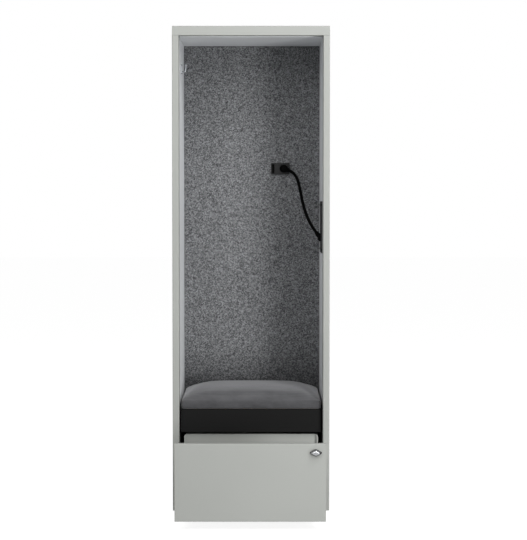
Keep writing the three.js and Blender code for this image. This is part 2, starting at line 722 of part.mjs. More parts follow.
function slideMember(corners, side, thickness) {
  const section = foldedSection(mirrored(corners, side), thickness, SLIDE_BEND);
  return alongY(section, SLIDE_Y, SLIDE_Y + SLIDE_LENGTH).translate(0, 0, SLIDE_Z);
}

// Strip with a row of balls along its upper and lower edge.
function ballCage(webX, side, raceZ, ball) {
  const ballX = (LIP_X + HALF_SHEET + webX - CAGE_SHEET / 2) / 2;
  const corners = plainChannel(webX, ballX - ball / 4, raceZ);
  const section = foldedSection(mirrored(corners, side), CAGE_SHEET, SLIDE_BEND);
  const front = FRONT_Y + CAGE_SETBACK;
  const strip = alongY(section, front, front + CAGE_LENGTH);
  const firstBall = front + (CAGE_LENGTH - (BALLS_PER_ROW - 1) * BALL_PITCH) / 2;
  const balls = [];
  for (let index = 0; index < BALLS_PER_ROW; index += 1) {
    for (const row of [-1, 1]) {
      const sphere = new THREE.SphereGeometry(ball / 2, 6, 4);
      balls.push(sphere.translate(side * ballX, firstBall + index * BALL_PITCH, row * raceZ));
    }
  }
  return join(strip, ...balls).translate(0, 0, SLIDE_Z);
}

const OUTER_RACE_Z = (SLIDE_HEIGHT / 2 - SHEET + MIDDLE_HEIGHT / 2) / 2;
const INNER_RACE_Z = (MIDDLE_HEIGHT / 2 - SHEET + INNER_HEIGHT / 2) / 2;
const MIDDLE_TRAVEL = -DRAWER_OUT / 2;
const OUTER_CAGE_TRAVEL = MIDDLE_TRAVEL / 2;
const INNER_CAGE_TRAVEL = (MIDDLE_TRAVEL - DRAWER_OUT) / 2;

for (const [name, side] of SIDES) {
  const outer = slideMember(lippedChannel(OUTER_WEB_X, SLIDE_HEIGHT), side, SHEET);
  const middle = slideMember(lippedChannel(MIDDLE_WEB_X, MIDDLE_HEIGHT), side, SHEET);
  const innerWebX = SLIDE_NEAR_X + HALF_SHEET;
  const innerFlange = INNER_HEIGHT / 2 - HALF_SHEET;
  const inner = slideMember(plainChannel(innerWebX, INNER_FLANGE_X, innerFlange), side, SHEET);
  const outerCage = ballCage(OUTER_CAGE_X, side, OUTER_RACE_Z, OUTER_BALL);
  const innerCage = ballCage(INNER_CAGE_X, side, INNER_RACE_Z, INNER_BALL);
  add(bench, `${name}_slide_outer`, outer, zincSteel());
  add(bench, `${name}_slide_middle`, middle.translate(0, MIDDLE_TRAVEL, 0), zincSteel());
  add(bench, `${name}_outer_ball_cage`, outerCage.translate(0, OUTER_CAGE_TRAVEL, 0), zincSteel());
  add(bench, `${name}_inner_ball_cage`, innerCage.translate(0, INNER_CAGE_TRAVEL, 0), zincSteel());
  add(drawer, `${name}_slide_inner`, inner, zincSteel());
}

// Lock: a fixed housing and nut, and a knob that turns a spindle and cam
const FLANGE_Y = FRONT_Y - SEAM;
const KNOB_Y = FLANGE_Y - LOCK_FLANGE_THICKNESS - SEAM;
const BORE = LOCK_SPINDLE + 2 * LOCK_RUNNING_GAP;

function lockHousing() {
  const flange = rodAlongY(LOCK_FLANGE, FLANGE_Y - LOCK_FLANGE_THICKNESS, FLANGE_Y, 0, 0, 36);
  const barrel = rodAlongY(LOCK_BARREL, FLANGE_Y - LOCK_FLANGE_THICKNESS, CAM_Y - SEAM);
  return cut(join(flange, barrel), rodAlongY(BORE, FLANGE_Y - 2 * LOCK_FLANGE_THICKNESS, CAM_Y + PAST));
}

function lockNut() {
  const hexagon = rodAlongY(LOCK_NUT, BACK_FACE_Y + SEAM, BACK_FACE_Y + SEAM + LOCK_NUT_THICKNESS, 0, 0, 6);
  return cut(hexagon, rodAlongY(LOCK_BARREL + 2 * SEAM, BACK_FACE_Y, BACK_FACE_Y + 2 * LOCK_NUT_THICKNESS));
}

// Ring of a rounded diamond at a given depth
function knobRing(scale, y) {
  const points = [];
  for (let index = 0; index < KNOB_POINTS; index += 1) {
    const angle = 2 * Math.PI * index / KNOB_POINTS;
    const power = 2 / KNOB_ROUNDNESS;
    const x = Math.sign(Math.cos(angle)) * Math.abs(Math.cos(angle)) ** power;
    const z = Math.sign(Math.sin(angle)) * Math.abs(Math.sin(angle)) ** power;
    points.push([x * scale * KNOB_LENGTH / 2, y, z * scale * KNOB_HEIGHT / 2]);
  }
  return points;
}

function knobDepth(ring) {
  return KNOB_NECK + (KNOB_DEPTH - KNOB_NECK) * Math.sin(Math.PI / 2 * ring / KNOB_RINGS);
}

function lockKnob() {
  const rings = [knobRing(0.82, KNOB_Y), knobRing(1, KNOB_Y - KNOB_NECK)];
  for (let ring = 1; ring < KNOB_RINGS; ring += 1) {
    const scale = Math.cos(Math.PI / 2 * ring / KNOB_RINGS);
    rings.push(knobRing(scale, KNOB_Y - knobDepth(ring)));
  }
  const triangles = [];
  const back = [0, KNOB_Y, 0];
  const nose = [0, KNOB_Y - KNOB_DEPTH, 0];
  for (let index = 0; index < KNOB_POINTS; index += 1) {
    const next = (index + 1) % KNOB_POINTS;
    triangles.push(back, rings[0][next], rings[0][index]);
    for (let ring = 0; ring < rings.length - 1; ring += 1) {
      const [a, b] = [rings[ring][index], rings[ring][next]];
      const [c, d] = [rings[ring + 1][next], rings[ring + 1][index]];
      triangles.push(a, b, c, a, c, d);
    }
    const last = rings[rings.length - 1];
    triangles.push(nose, last[index], last[next]);
  }
  const geometry = new THREE.BufferGeometry();
  geometry.setAttribute('position', new THREE.Float32BufferAttribute(triangles.flat(), 3));
  return cut(geometry, rodAlongY(DOT + 2 * SEAM, KNOB_Y - KNOB_DEPTH, KNOB_Y - KNOB_NECK, DOT_X, 0));
}

// Height of the knob's dome over the dot, at the dot's middle
function domeOverDot() {
  const scale = DOT_X / (KNOB_LENGTH / 2);
  return KNOB_NECK + (KNOB_DEPTH - KNOB_NECK) * Math.sqrt(1 - scale * scale);
}

function knobDot() {
  return rodAlongY(DOT, KNOB_Y - domeOverDot() - DOT_STANDS_PROUD, KNOB_Y - KNOB_NECK - SEAM, DOT_X, 0, 20);
}

function lockCam() {
  const half = CAM_WIDTH / 2;
  const outline = roundedOutline(-CAM_LENGTH, half, -half, half, [half, half, half, half]);
  const plate = alongY(outline, CAM_Y, CAM_Y + CAM_THICKNESS);
  return cut(plate, rodAlongY(LOCK_SPINDLE + 2 * SEAM, CAM_Y - PAST, CAM_Y + CAM_THICKNESS + PAST));
}

// Spindle from the knob to a cap that holds the cam on
function lockSpindle() {
  const capY = CAM_Y + CAM_THICKNESS + SEAM;
  const shaft = rodAlongY(LOCK_SPINDLE, KNOB_Y + SEAM, capY + CAM_THICKNESS);
  return join(shaft, rodAlongY(LOCK_SPINDLE * 1.5, capY, capY + CAM_THICKNESS));
}

add(lock, 'lock_housing', lockHousing(), chrome());
add(lock, 'lock_nut', lockNut(), zincSteel());
add(lock, 'lock_knob', lockKnob(), chrome());
add(lock, 'lock_knob_dot', knobDot(), softBlack());
add(lock, 'lock_spindle', lockSpindle(), zincSteel());
add(lock, 'lock_cam', lockCam(), zincSteel());

// Power outlet: a frame on the felt, two inserts and a back box behind them
const OUTLET_FACE_Y = FELT_Y - SEAM - OUTLET_PROUD;
const INSERT_Y = OUTLET_FACE_Y + INSERT_RECESS;
const INSERT_HALF_Z = OUTLET_HEIGHT / 2 - OUTLET_RIM;
const INSERT_LEFT = OUTLET_X - OUTLET_WIDTH / 2 + OUTLET_RIM;
const INSERT_RIGHT = OUTLET_X + OUTLET_WIDTH / 2 - OUTLET_RIM;
const SOCKET_LEFT = INSERT_LEFT + NARROW_INSERT + OUTLET_DIVIDER;
const SOCKET_X = INSERT_RIGHT - SEAM - WELL_MARGIN - WELL / 2;
const WELL_FLOOR_Y = INSERT_Y + WELL_DEPTH;

function outletFrame() {
  const outline = centredOutline(OUTLET_X, OUTLET_Z, OUTLET_WIDTH / 2, OUTLET_HEIGHT / 2, OUTLET_CORNER);
  const low = OUTLET_Z - INSERT_HALF_Z;
  const high = OUTLET_Z + INSERT_HALF_Z;
  const narrow = block(INSERT_LEFT, INSERT_LEFT + NARROW_INSERT, OUTLET_FACE_Y - PAST, FELT_Y, low, high);
  const wide = block(SOCKET_LEFT, INSERT_RIGHT, OUTLET_FACE_Y - PAST, FELT_Y, low, high);
  return cut(alongY(outline, OUTLET_FACE_Y, OUTLET_FACE_Y + OUTLET_PROUD), narrow, wide);
}

function pinPlaces() {
  return [-PIN_SPACING / 2, PIN_SPACING / 2];
}

function insertBlock(left, right) {
  const low = OUTLET_Z - INSERT_HALF_Z + SEAM;
  const high = OUTLET_Z + INSERT_HALF_Z - SEAM;
  return block(left + SEAM, right - SEAM, INSERT_Y, INSERT_Y + INSERT_DEPTH, low, high);
}

function socketInsert() {
  const body = insertBlock(SOCKET_LEFT, INSERT_RIGHT);
  const well = rodAlongY(WELL, INSERT_Y - PAST, WELL_FLOOR_Y, SOCKET_X, OUTLET_Z, 36);
  const holes = pinPlaces().map((z) => {
    const hole = PIN + 2 * SEAM;
    return rodAlongY(hole, INSERT_Y, WELL_FLOOR_Y + PIN_LENGTH + SEAM, SOCKET_X, OUTLET_Z + z, 16);
  });
  return cut(body, well, ...holes);
}

function outletBackBox() {
  const inX = OUTLET_WIDTH / 2 - OUTLET_RIM + SEAM;
  const inZ = INSERT_HALF_Z + SEAM;
  const rear = FELT_Y + BACK_BOX_DEPTH;
  const shell = (grow, y0, y1) => block(
    OUTLET_X - inX - grow, OUTLET_X + inX + grow, y0, y1, OUTLET_Z - inZ - grow, OUTLET_Z + inZ + grow);
  return cut(shell(BACK_BOX_WALL, FELT_Y, rear), shell(0, FELT_Y - PAST, rear - BACK_BOX_WALL));
}

add(power, 'outlet_frame', outletFrame(), blackPlastic());
add(power, 'socket_insert', socketInsert(), blackPlastic());
add(power, 'narrow_insert', insertBlock(INSERT_LEFT, INSERT_LEFT + NARROW_INSERT), softBlack());
add(power, 'outlet_back_box', outletBackBox(), blackPlastic());

// Plug: a round body in the socket's well, two pins and a boot square to them
const PLUG_REAR_Y = WELL_FLOOR_Y - SEAM;
const PLUG_NOSE_Y = INSERT_Y - PLUG_STANDS_OUT;
const BOOT_Y = INSERT_Y - PLUG_STANDS_OUT / 2;
const BOOT_ROOT_POINT = new THREE.Vector3(SOCKET_X, BOOT_Y, OUTLET_Z);
const BOOT_DIRECTION = new THREE.Vector3(1, 0, 0)
  .applyEuler(new THREE.Euler(0, BOOT_TILT, -BOOT_SWING, 'ZYX'));
const BOOT_END = BOOT_ROOT_POINT.clone().addScaledVector(BOOT_DIRECTION, BOOT_LENGTH);

// Tapered sleeve from one point to another
function taper(start, end, rootDiameter, tipDiameter, sides = 20) {
  const axis = end.clone().sub(start);
  const geometry = new THREE.CylinderGeometry(tipDiameter / 2, rootDiameter / 2, axis.length(), sides);
  const turn = new THREE.Quaternion().setFromUnitVectors(new THREE.Vector3(0, 1, 0), axis.clone().normalize());
  const middle = start.clone().add(end).multiplyScalar(0.5);
  return geometry.applyQuaternion(turn).translate(middle.x, middle.y, middle.z);
}

function powerPlug() {
  const profile = new THREE.Path();
  profile.moveTo(0, PLUG_NOSE_Y);
  profile.lineTo(PLUG / 2 - PLUG_ROUND, PLUG_NOSE_Y);
  profile.absarc(PLUG / 2 - PLUG_ROUND, PLUG_NOSE_Y + PLUG_ROUND, PLUG_ROUND, -Math.PI / 2, 0);
  profile.lineTo(PLUG / 2, PLUG_REAR_Y);
  profile.lineTo(0, PLUG_REAR_Y);
  const body = new THREE.LatheGeometry(profile.getPoints(4), 32).translate(SOCKET_X, 0, OUTLET_Z);
  const boot = taper(BOOT_ROOT_POINT, BOOT_END, BOOT_ROOT, BOOT_TIP);
  const pins = pinPlaces().map((z) => (
    rodAlongY(PIN, PLUG_REAR_Y - PLUG_ROUND, PLUG_REAR_Y + PIN_LENGTH, SOCKET_X, OUTLET_Z + z, 16)));
  return join(body, boot, ...pins);
}

add(power, 'power_plug', powerPlug(), softBlack());

// Wall plate over the port in the right-hand liner, with a slanting gland
const GLAND_ROOT_POINT = new THREE.Vector3(PLATE_FACE_X, GLAND_Y, GLAND_Z);
const GLAND_DIRECTION = new THREE.Vector3(0, 0, 1)
  .applyEuler(new THREE.Euler(-GLAND_SWING, -GLAND_TILT, 0, 'XYZ'));
const GLAND_END = GLAND_ROOT_POINT.clone().addScaledVector(GLAND_DIRECTION, GLAND_LENGTH);

function wallPlate() {
  const half = PLATE_SIZE / 2;
  return alongX(centredOutline(PLATE_Y, PLATE_Z, half, half, PLATE_CORNER), PLATE_FACE_X, CLEAR_X);
}

function leadGland() {
  const ball = new THREE.SphereGeometry(GLAND_BALL, 20, 14).translate(PLATE_FACE_X, GLAND_Y, GLAND_Z);
  const sleeve = taper(GLAND_ROOT_POINT, GLAND_END, GLAND_ROOT, GLAND_TIP);
  const reach = 2 * GLAND_BALL;
  const behind = block(-SEAM, reach, -reach, reach, -reach, reach).translate(PLATE_FACE_X, GLAND_Y, GLAND_Z);
  return cut(join(ball, sleeve), behind);
}

// Lead from the plug's boot to the gland
function powerLead() {
  const start = BOOT_END.clone().addScaledVector(BOOT_DIRECTION, SEAM);
  const end = GLAND_END.clone().addScaledVector(GLAND_DIRECTION, SEAM);
  const fromPlug = start.clone().addScaledVector(BOOT_DIRECTION, LEAD_REACH_FROM_PLUG);
  const fromGland = end.clone().addScaledVector(GLAND_DIRECTION, LEAD_REACH_FROM_GLAND);
  const route = new THREE.CubicBezierCurve3(start, fromPlug, fromGland, end);
  const section = new THREE.Shape();
  section.absarc(0, 0, LEAD / 2, 0, 2 * Math.PI);
  const outline = new THREE.Shape(section.getSpacedPoints(LEAD_SIDES).slice(0, LEAD_SIDES));
  return new THREE.ExtrudeGeometry(outline, { steps: LEAD_STEPS, extrudePath: route, bevelEnabled: false });
}

add(power, 'wall_plate', wallPlate(), blackPlastic());
add(power, 'lead_gland', leadGland(), softBlack());
add(power, 'power_lead', powerLead(), softBlack());

// Coat hook: a plate on the left-hand wall and a rod that turns up into a ball tip
function coatHook() {
  const face = -CLEAR_X + HOOK_PLATE;
  const [halfWidth, halfHeight] = [HOOK_PLATE_WIDTH / 2, HOOK_PLATE_HEIGHT / 2];
  const outline = centredOutline(HOOK_Y, HOOK_Z, halfWidth, halfHeight, HOOK_PLATE_CORNER);
  const plate = alongX(outline, -CLEAR_X, face);
  const tip = new THREE.Vector3(-INNER_X + HOOK_REACH, HOOK_Y, HOOK_Z + HOOK_RISE);
  const route = new THREE.CatmullRomCurve3([
    new THREE.Vector3(face - HOOK_PLATE / 2, HOOK_Y, HOOK_Z - HOOK_ARM_DEPTH),
    new THREE.Vector3(face + HOOK_REACH / 3, HOOK_Y, HOOK_Z - HOOK_ARM_DEPTH),
    new THREE.Vector3(tip.x - HOOK_REACH / 9, HOOK_Y, HOOK_Z - HOOK_ARM_DEPTH / 2),
    tip,
  ], false, 'centripetal');
  const section = new THREE.Shape();
  section.absarc(0, 0, HOOK_ROD / 2, 0, 2 * Math.PI);
  const rod = new THREE.ExtrudeGeometry(section, {
    steps: 12, extrudePath: route, bevelEnabled: false, curveSegments: 12,
  });
  const ball = new THREE.SphereGeometry(HOOK_TIP / 2, 14, 10).translate(tip.x, tip.y, tip.z);
  return join(plate, rod, ball);
}

add(carcass, 'coat_hook', coatHook(), zincSteel());

export default niche;
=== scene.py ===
"""Dressed model of an open-fronted steel seating niche with a drawer under its bench.

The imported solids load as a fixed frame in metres, +Z up, with the open front towards -Y. Steel, felt,
velour, plastic and rubber get their finishes here, the soft and moulded pieces get their full form, and
screws, rivets and boot ribs are added where the solids leave them out.
"""

from __future__ import annotations

import json
import logging
import math
from dataclasses import dataclass
from enum import Enum
from typing import Any, Sequence

import bmesh
import bpy
import numpy as np
from mathutils import Euler, Matrix, Vector

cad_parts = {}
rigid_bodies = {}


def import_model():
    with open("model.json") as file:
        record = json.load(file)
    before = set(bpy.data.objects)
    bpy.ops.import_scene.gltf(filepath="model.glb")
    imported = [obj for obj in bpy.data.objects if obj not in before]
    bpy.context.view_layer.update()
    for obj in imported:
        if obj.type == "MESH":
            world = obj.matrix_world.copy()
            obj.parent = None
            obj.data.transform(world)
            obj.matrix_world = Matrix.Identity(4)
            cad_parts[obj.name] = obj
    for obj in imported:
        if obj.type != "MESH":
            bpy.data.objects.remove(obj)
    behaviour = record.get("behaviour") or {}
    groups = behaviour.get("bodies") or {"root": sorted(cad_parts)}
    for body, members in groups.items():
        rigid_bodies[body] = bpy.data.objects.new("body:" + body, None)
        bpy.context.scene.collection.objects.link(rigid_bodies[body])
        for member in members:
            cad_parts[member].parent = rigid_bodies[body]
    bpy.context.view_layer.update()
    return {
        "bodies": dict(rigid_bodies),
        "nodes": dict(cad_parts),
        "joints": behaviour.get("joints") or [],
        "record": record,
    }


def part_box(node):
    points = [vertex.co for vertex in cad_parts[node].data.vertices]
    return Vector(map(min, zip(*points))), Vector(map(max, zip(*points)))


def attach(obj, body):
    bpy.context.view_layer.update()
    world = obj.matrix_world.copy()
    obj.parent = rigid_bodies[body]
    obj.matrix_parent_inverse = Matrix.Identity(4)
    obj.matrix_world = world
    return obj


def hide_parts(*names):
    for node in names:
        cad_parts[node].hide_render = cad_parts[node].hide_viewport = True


LOG = logging.getLogger("seating_niche")
MM = 0.001
NOISE_SPAN = (0.3, 0.7)
BLACK = (0.0, 0.0, 0.0, 1.0)
WHITE = (1.0, 1.0, 1.0, 1.0)
Colour = tuple[float, float, float]
Point = tuple[float, float, float]
Shade = tuple[float, float, float, float]
Span = tuple[float, float]


class Slot(Enum):
    """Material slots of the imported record."""

    GREY_STEEL = "grey_steel"
    PALE_STEEL = "pale_steel"
    BLACK_STEEL = "black_steel"
    ZINC_STEEL = "zinc_steel"
    CHROME = "chrome"
    FELT = "felt"
    VELOUR = "velour"
    CORE = "core"
    PLYWOOD = "plywood"
    BLACK_PLASTIC = "black_plastic"
    RUBBER = "rubber"


class Body(Enum):
    """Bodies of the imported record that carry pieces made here."""

    CARCASS = "carcass"
    DRAWER = "drawer"
    LOCK = "lock"


class Socket(Enum):
    """Socket types of node groups."""

    NUMBER = "NodeSocketFloat"
    COUNT = "NodeSocketInt"
    VECTOR = "NodeSocketVector"
    MATERIAL = "NodeSocketMaterial"
    GEOMETRY = "NodeSocketGeometry"


def linear(colour: Sequence[float]) -> Shade:
    """Turns a colour as seen on a screen into a shader colour.

    Args:
        colour: Red, green and blue from 0 to 255.

    Returns:
        Linear red, green, blue and a full alpha.
    """
    shares = [channel / 255 for channel in colour]
    curve = [s / 12.92 if s <= 0.04045 else ((s + 0.055) / 1.055) ** 2.4 for s in shares]
    return (curve[0], curve[1], curve[2], 1.0)


class Graph:
    """Adds, sets and links the nodes of one tree."""

    def __init__(self, tree: bpy.types.NodeTree) -> None:
        """Takes the tree to fill."""
        self.tree = tree

    def fill(self, node: bpy.types.Node, inputs: dict[Any, Any]) -> None:
        """Sets or links inputs of a node.

        Args:
            node: The node.
            inputs: Values or output sockets, by the input's name or number.
        """
        for key, value in inputs.items():
            if isinstance(value, bpy.types.NodeSocket):
                self.tree.links.new(value, node.inputs[key])
            else:
                node.inputs[key].default_value = value

    def add(self, kind: str, inputs: dict[Any, Any] | None = None, **settings: Any) -> bpy.types.Node:
        """Adds a node.

        Args:
            kind: The node's type.
            inputs: Values or output sockets for its inputs, by name or number.
            **settings: Properties of the node.

        Returns:
            The node.
        """
        node = self.tree.nodes.new(kind)
        for name, value in settings.items():
            setattr(node, name, value)
        self.fill(node, inputs or {})
        return node

    def math(
        self, operation: str, first: Any, second: Any = 0.0, clamp: bool = False
    ) -> bpy.types.NodeSocket:
        """Adds a Math node.

        Args:
            operation: What it does.
            first: Its first value or socket.
            second: Its second value or socket.
            clamp: Whether the result stays between 0 and 1.

        Returns:
            Its result.
        """
        node = self.add("ShaderNodeMath", {0: first, 1: second}, operation=operation, use_clamp=clamp)
        return node.outputs[0]

    def ramp(
        self, value: Any, low: float, high: float, to_low: float = 0.0, to_high: float = 1.0
    ) -> bpy.types.NodeSocket:
        """Maps a value from one range to another, clamped.

        Args:
            value: Socket to map.
            low: Value that gives to_low.
            high: Value that gives to_high.
            to_low: Lower result.
            to_high: Upper result.

        Returns:
            The mapped value.
        """
        inputs = {0: value, 1: low, 2: high, 3: to_low, 4: to_high}
        return self.add("ShaderNodeMapRange", inputs).outputs[0]

    def blend(self, factor: Any, first: Any, second: Any) -> bpy.types.NodeSocket:
        """Mixes two colours.

        Args:
            factor: Share of the second colour.
            first: First colour.
            second: Second colour.

        Returns:
            The mixed colour.
        """
        node = self.add("ShaderNodeMix", {0: factor, 6: first, 7: second}, data_type="RGBA")
        return node.outputs[2]

    def noise(
        self, vector: Any, scale: Any, detail: float = 3.0, roughness: float = 0.55, swirl: float = 0.0
    ) -> bpy.types.NodeSocket:
        """Adds a noise texture.

        Args:
            vector: Coordinates.
            scale: Repeats in a metre.
            detail: Octaves.
            roughness: Weight of the finer octaves.
            swirl: How much it is distorted.

        Returns:
            Its value.
        """
        weights = {"Detail": detail, "Roughness": roughness, "Distortion": swirl}
        return self.add("ShaderNodeTexNoise", {"Vector": vector, "Scale": scale, **weights}).outputs[0]

    def axis(self, name: str, vector: Any) -> bpy.types.NodeSocket:
        """Gives one axis of a vector."""
        return self.add("ShaderNodeSeparateXYZ", {0: vector}).outputs[name]

    def facing(self, name: str) -> bpy.types.NodeSocket:
        """Gives one axis of the surface's normal."""
        return self.axis(name, self.add("ShaderNodeNewGeometry").outputs["Normal"])


def new_group(
    kind: str, name: str, inputs: Sequence[tuple[str, Socket, Any]], outputs: Sequence[tuple[str, Socket]]
) -> tuple[Graph, bpy.types.Node, bpy.types.Node]:
    """Starts a node group with named sockets.

    Args:
        kind: Type of the tree.
        name: The group's name.
        inputs: Name, type and default of each input.
        outputs: Name and type of each output.

    Returns:
        The graph to fill, its input node and its output node.
    """
    tree = bpy.data.node_groups.new(name, kind)
    for label, socket, default in inputs:
        made = tree.interface.new_socket(name=label, in_out="INPUT", socket_type=socket.value)
        if default is not None:
            made.default_value = default
    for label, socket in outputs:
        tree.interface.new_socket(name=label, in_out="OUTPUT", socket_type=socket.value)
    graph = Graph(tree)
    return graph, graph.add("NodeGroupInput"), graph.add("NodeGroupOutput")


class SharedEffects:
    """Shader node groups that several finishes use, each built once."""

    clump_span: Span = (0.32, 0.68)
    clump_share: float = 0.4
    strand_rate: float = 2.5
    strand_swirl: float = 2.0
    fibre_wander: float = 2.0
    tuft_middle: float = 0.5
    dusty_span: Span = (0.75, 1.0)
    patch_rate: float = 9.0
    patch_span: Span = (0.35, 0.8)

    def __init__(self) -> None:
        """Builds the groups."""
        self.grain = self._grain()
        self.fibres = self._fibres()
        self.dust = self._dust()

    @staticmethod
    def _start(
        name: str, sizes: dict[str, float], results: Sequence[str]
    ) -> tuple[Graph, bpy.types.Node, bpy.types.Node]:
        """Starts a group with coordinates and numbers in, and numbers out.

        Args:
            name: The group's name.
            sizes: Default of each number, by name.
            results: Names of its outputs.

        Returns:
            The graph to fill, its input node and its output node.
        """
        numbers = [(label, Socket.NUMBER, size) for label, size in sizes.items()]
        inputs = [("Vector", Socket.VECTOR, None), *numbers]
        return new_group("ShaderNodeTree", name, inputs, [(label, Socket.NUMBER) for label in results])

    def _grain(self) -> bpy.types.NodeTree:
        """Makes the fine and broad unevenness of a coated, moulded or plated surface.

        Returns:
            The group.
        """
        graph, given, result = self._start("surface_grain", {"Size": 0.001, "Breadth": 0.3}, ("Fine", "Broad"))
        place = given.outputs["Vector"]
        fine = graph.noise(place, graph.math("DIVIDE", 1.0, given.outputs["Size"]), 2.0)
        broad = graph.noise(place, graph.math("DIVIDE", 1.0, given.outputs["Breadth"]), 3.0)
        graph.fill(result, {"Fine": fine, "Broad": graph.ramp(broad, *NOISE_SPAN)})
        return graph.tree

    def _fibres(self) -> bpy.types.NodeTree:
        """Makes the clumps and single flecks of matted or napped fibre.

        Returns:
            The group.
        """
        graph, given, result = self._start(
            "fibre_blend", {"Clump": 0.01, "Fibre": 0.002}, ("Clumps", "Flecks", "Gaps", "Height"))
        place, fibre = given.outputs["Vector"], given.outputs["Fibre"]
        rate = graph.math("DIVIDE", 1.0, fibre)
        clump = graph.noise(place, graph.math("DIVIDE", 1.0, given.outputs["Clump"]), 4.0, 0.62)
        finer = graph.math("MULTIPLY", rate, self.strand_rate)
        strand = graph.noise(place, finer, 2.0, 0.6, self.strand_swirl)
        bends = {"Vector": place, "Scale": rate, "Detail": 2.0, "Distortion": 1.0}
        bend = graph.add("ShaderNodeTexNoise", bends).outputs["Color"]
        reach = graph.math("MULTIPLY", fibre, self.fibre_wander)
        wander = graph.add("ShaderNodeVectorMath", {0: bend, "Scale": reach}, operation="SCALE").outputs[0]
        matted = graph.add("ShaderNodeVectorMath", {0: place, 1: wander}, operation="ADD").outputs[0]
        cells = graph.add("ShaderNodeTexVoronoi", {"Vector": matted, "Scale": rate})
        tuft = graph.add("ShaderNodeSeparateColor", {0: cells.outputs["Color"]}).outputs[0]
        shares = ((clump, self.clump_share), (strand, 1 - self.clump_share))
        graph.fill(result, {
            "Clumps": graph.ramp(clump, *self.clump_span),
            "Flecks": graph.ramp(tuft, self.tuft_middle, 1.0),
            "Gaps": graph.ramp(tuft, self.tuft_middle, 0.0),
            "Height": graph.math("ADD", *(graph.math("MULTIPLY", value, share) for value, share in shares)),
        })
        return graph.tree

    def _dust(self) -> bpy.types.NodeTree:
        """Makes a mask of the thin dust that settles on faces that look up.

        Returns:
            The group.
        """
        graph, given, result = self._start("settled_dust", {"Amount": 0.1}, ("Mask",))
        upward = graph.ramp(graph.facing("Z"), *self.dusty_span)
        spots = graph.noise(given.outputs["Vector"], self.patch_rate, 6.0, 0.65)
        settled = graph.math("MULTIPLY", upward, graph.ramp(spots, *self.patch_span))
        graph.fill(result, {"Mask": graph.math("MULTIPLY", settled, given.outputs["Amount"])})
        return graph.tree


class MaterialGraph(Graph):
    """Graph of one material, with its shader, its object coordinates and the shared effects at hand."""

    def __init__(self, material: bpy.types.Material, effects: SharedEffects) -> None:
        """Starts the graph.

        Args:
            material: The material to fill.
            effects: The shared effects.
        """
        material.use_nodes = True
        super().__init__(material.node_tree)
        self.effects = effects
        self.shader = self.tree.nodes["Principled BSDF"]
        self.coords = self.add("ShaderNodeTexCoord").outputs["Object"]

    def effect(self, tree: bpy.types.NodeTree, **inputs: Any) -> Any:
        """Places a shared effect and gives its outputs; it takes the object coordinates if no others."""
        return self.add("ShaderNodeGroup", {"Vector": self.coords, **inputs}, node_tree=tree).outputs

    def shade(self, **inputs: Any) -> None:
        """Sets or links inputs of the shader, whose names have _ for each space."""
        self.fill(self.shader, {name.replace("_", " "): value for name, value in inputs.items()})

    def relief(self, height: Any, strength: float, depth: float) -> None:
        """Gives the shader relief.

        Args:
            height: Socket with the height.
            strength: Share of the relief that shows.
            depth: Depth of the relief in metres.
        """
        node = self.add("ShaderNodeBump", {"Height": height, "Strength": strength, "Distance": depth})
        self.shade(Normal=node.outputs[0])


@dataclass(frozen=True)
class Finish:
    """What every finish has: a name, a colour as seen and a roughness."""

    name: str
    colour: Colour
    roughness: float

    def shades(self, *amounts: float) -> list[Shade]:
        """Gives the colour lighter or darker.

        Args:
            *amounts: Factors on the colour.

        Returns:
            A shader colour for each.
        """
        red, green, blue, alpha = linear(self.colour)
        return [(red * amount, green * amount, blue * amount, alpha) for amount in amounts]

    def paint(self, work: MaterialGraph) -> None:
        """Fills the material, in each finish in its own way."""
        raise NotImplementedError

    def material(self, effects: SharedEffects) -> bpy.types.Material:
        """Builds the material.

        Args:
            effects: The shared effects.

        Returns:
            The material.
        """
        material = bpy.data.materials.new(self.name)
        work = MaterialGraph(material, effects)
        work.shade(Base_Color=linear(self.colour), Roughness=self.roughness)
        self.paint(work)
        return material


@dataclass(frozen=True)
class PowderCoat(Finish):
    """Baked powder coat with a fine orange peel and a trace of dust."""

    peel: float = 0.0011
    breadth: float = 0.4
    cast: Span = (0.98, 1.02)
    spread: float = 0.04
    relief: float = 0.25
    depth: float = 0.05 * MM
    specular: float = 0.5
    dust: float = 0.10
    dust_colour: Colour = (190, 188, 182)
    dust_dulls: float = 0.5

    def paint(self, work: MaterialGraph) -> None:
        """Paints the coat.

        Args:
            work: The material's graph.
        """
        grain = work.effect(work.effects.grain, Size=self.peel, Breadth=self.breadth)
        dust = work.effect(work.effects.dust, Amount=self.dust)["Mask"]
        coat = work.blend(grain["Broad"], *self.shades(*self.cast))
        low, high = self.roughness - self.spread, self.roughness + self.spread
        rough = work.ramp(grain["Broad"], 0.0, 1.0, low, high)
        dull = work.math("ADD", rough, work.math("MULTIPLY", dust, self.dust_dulls), clamp=True)
        dusted = work.blend(dust, coat, linear(self.dust_colour))
        work.shade(Specular_IOR_Level=self.specular, Base_Color=dusted, Roughness=dull)
        work.relief(grain["Fine"], self.relief, self.depth)


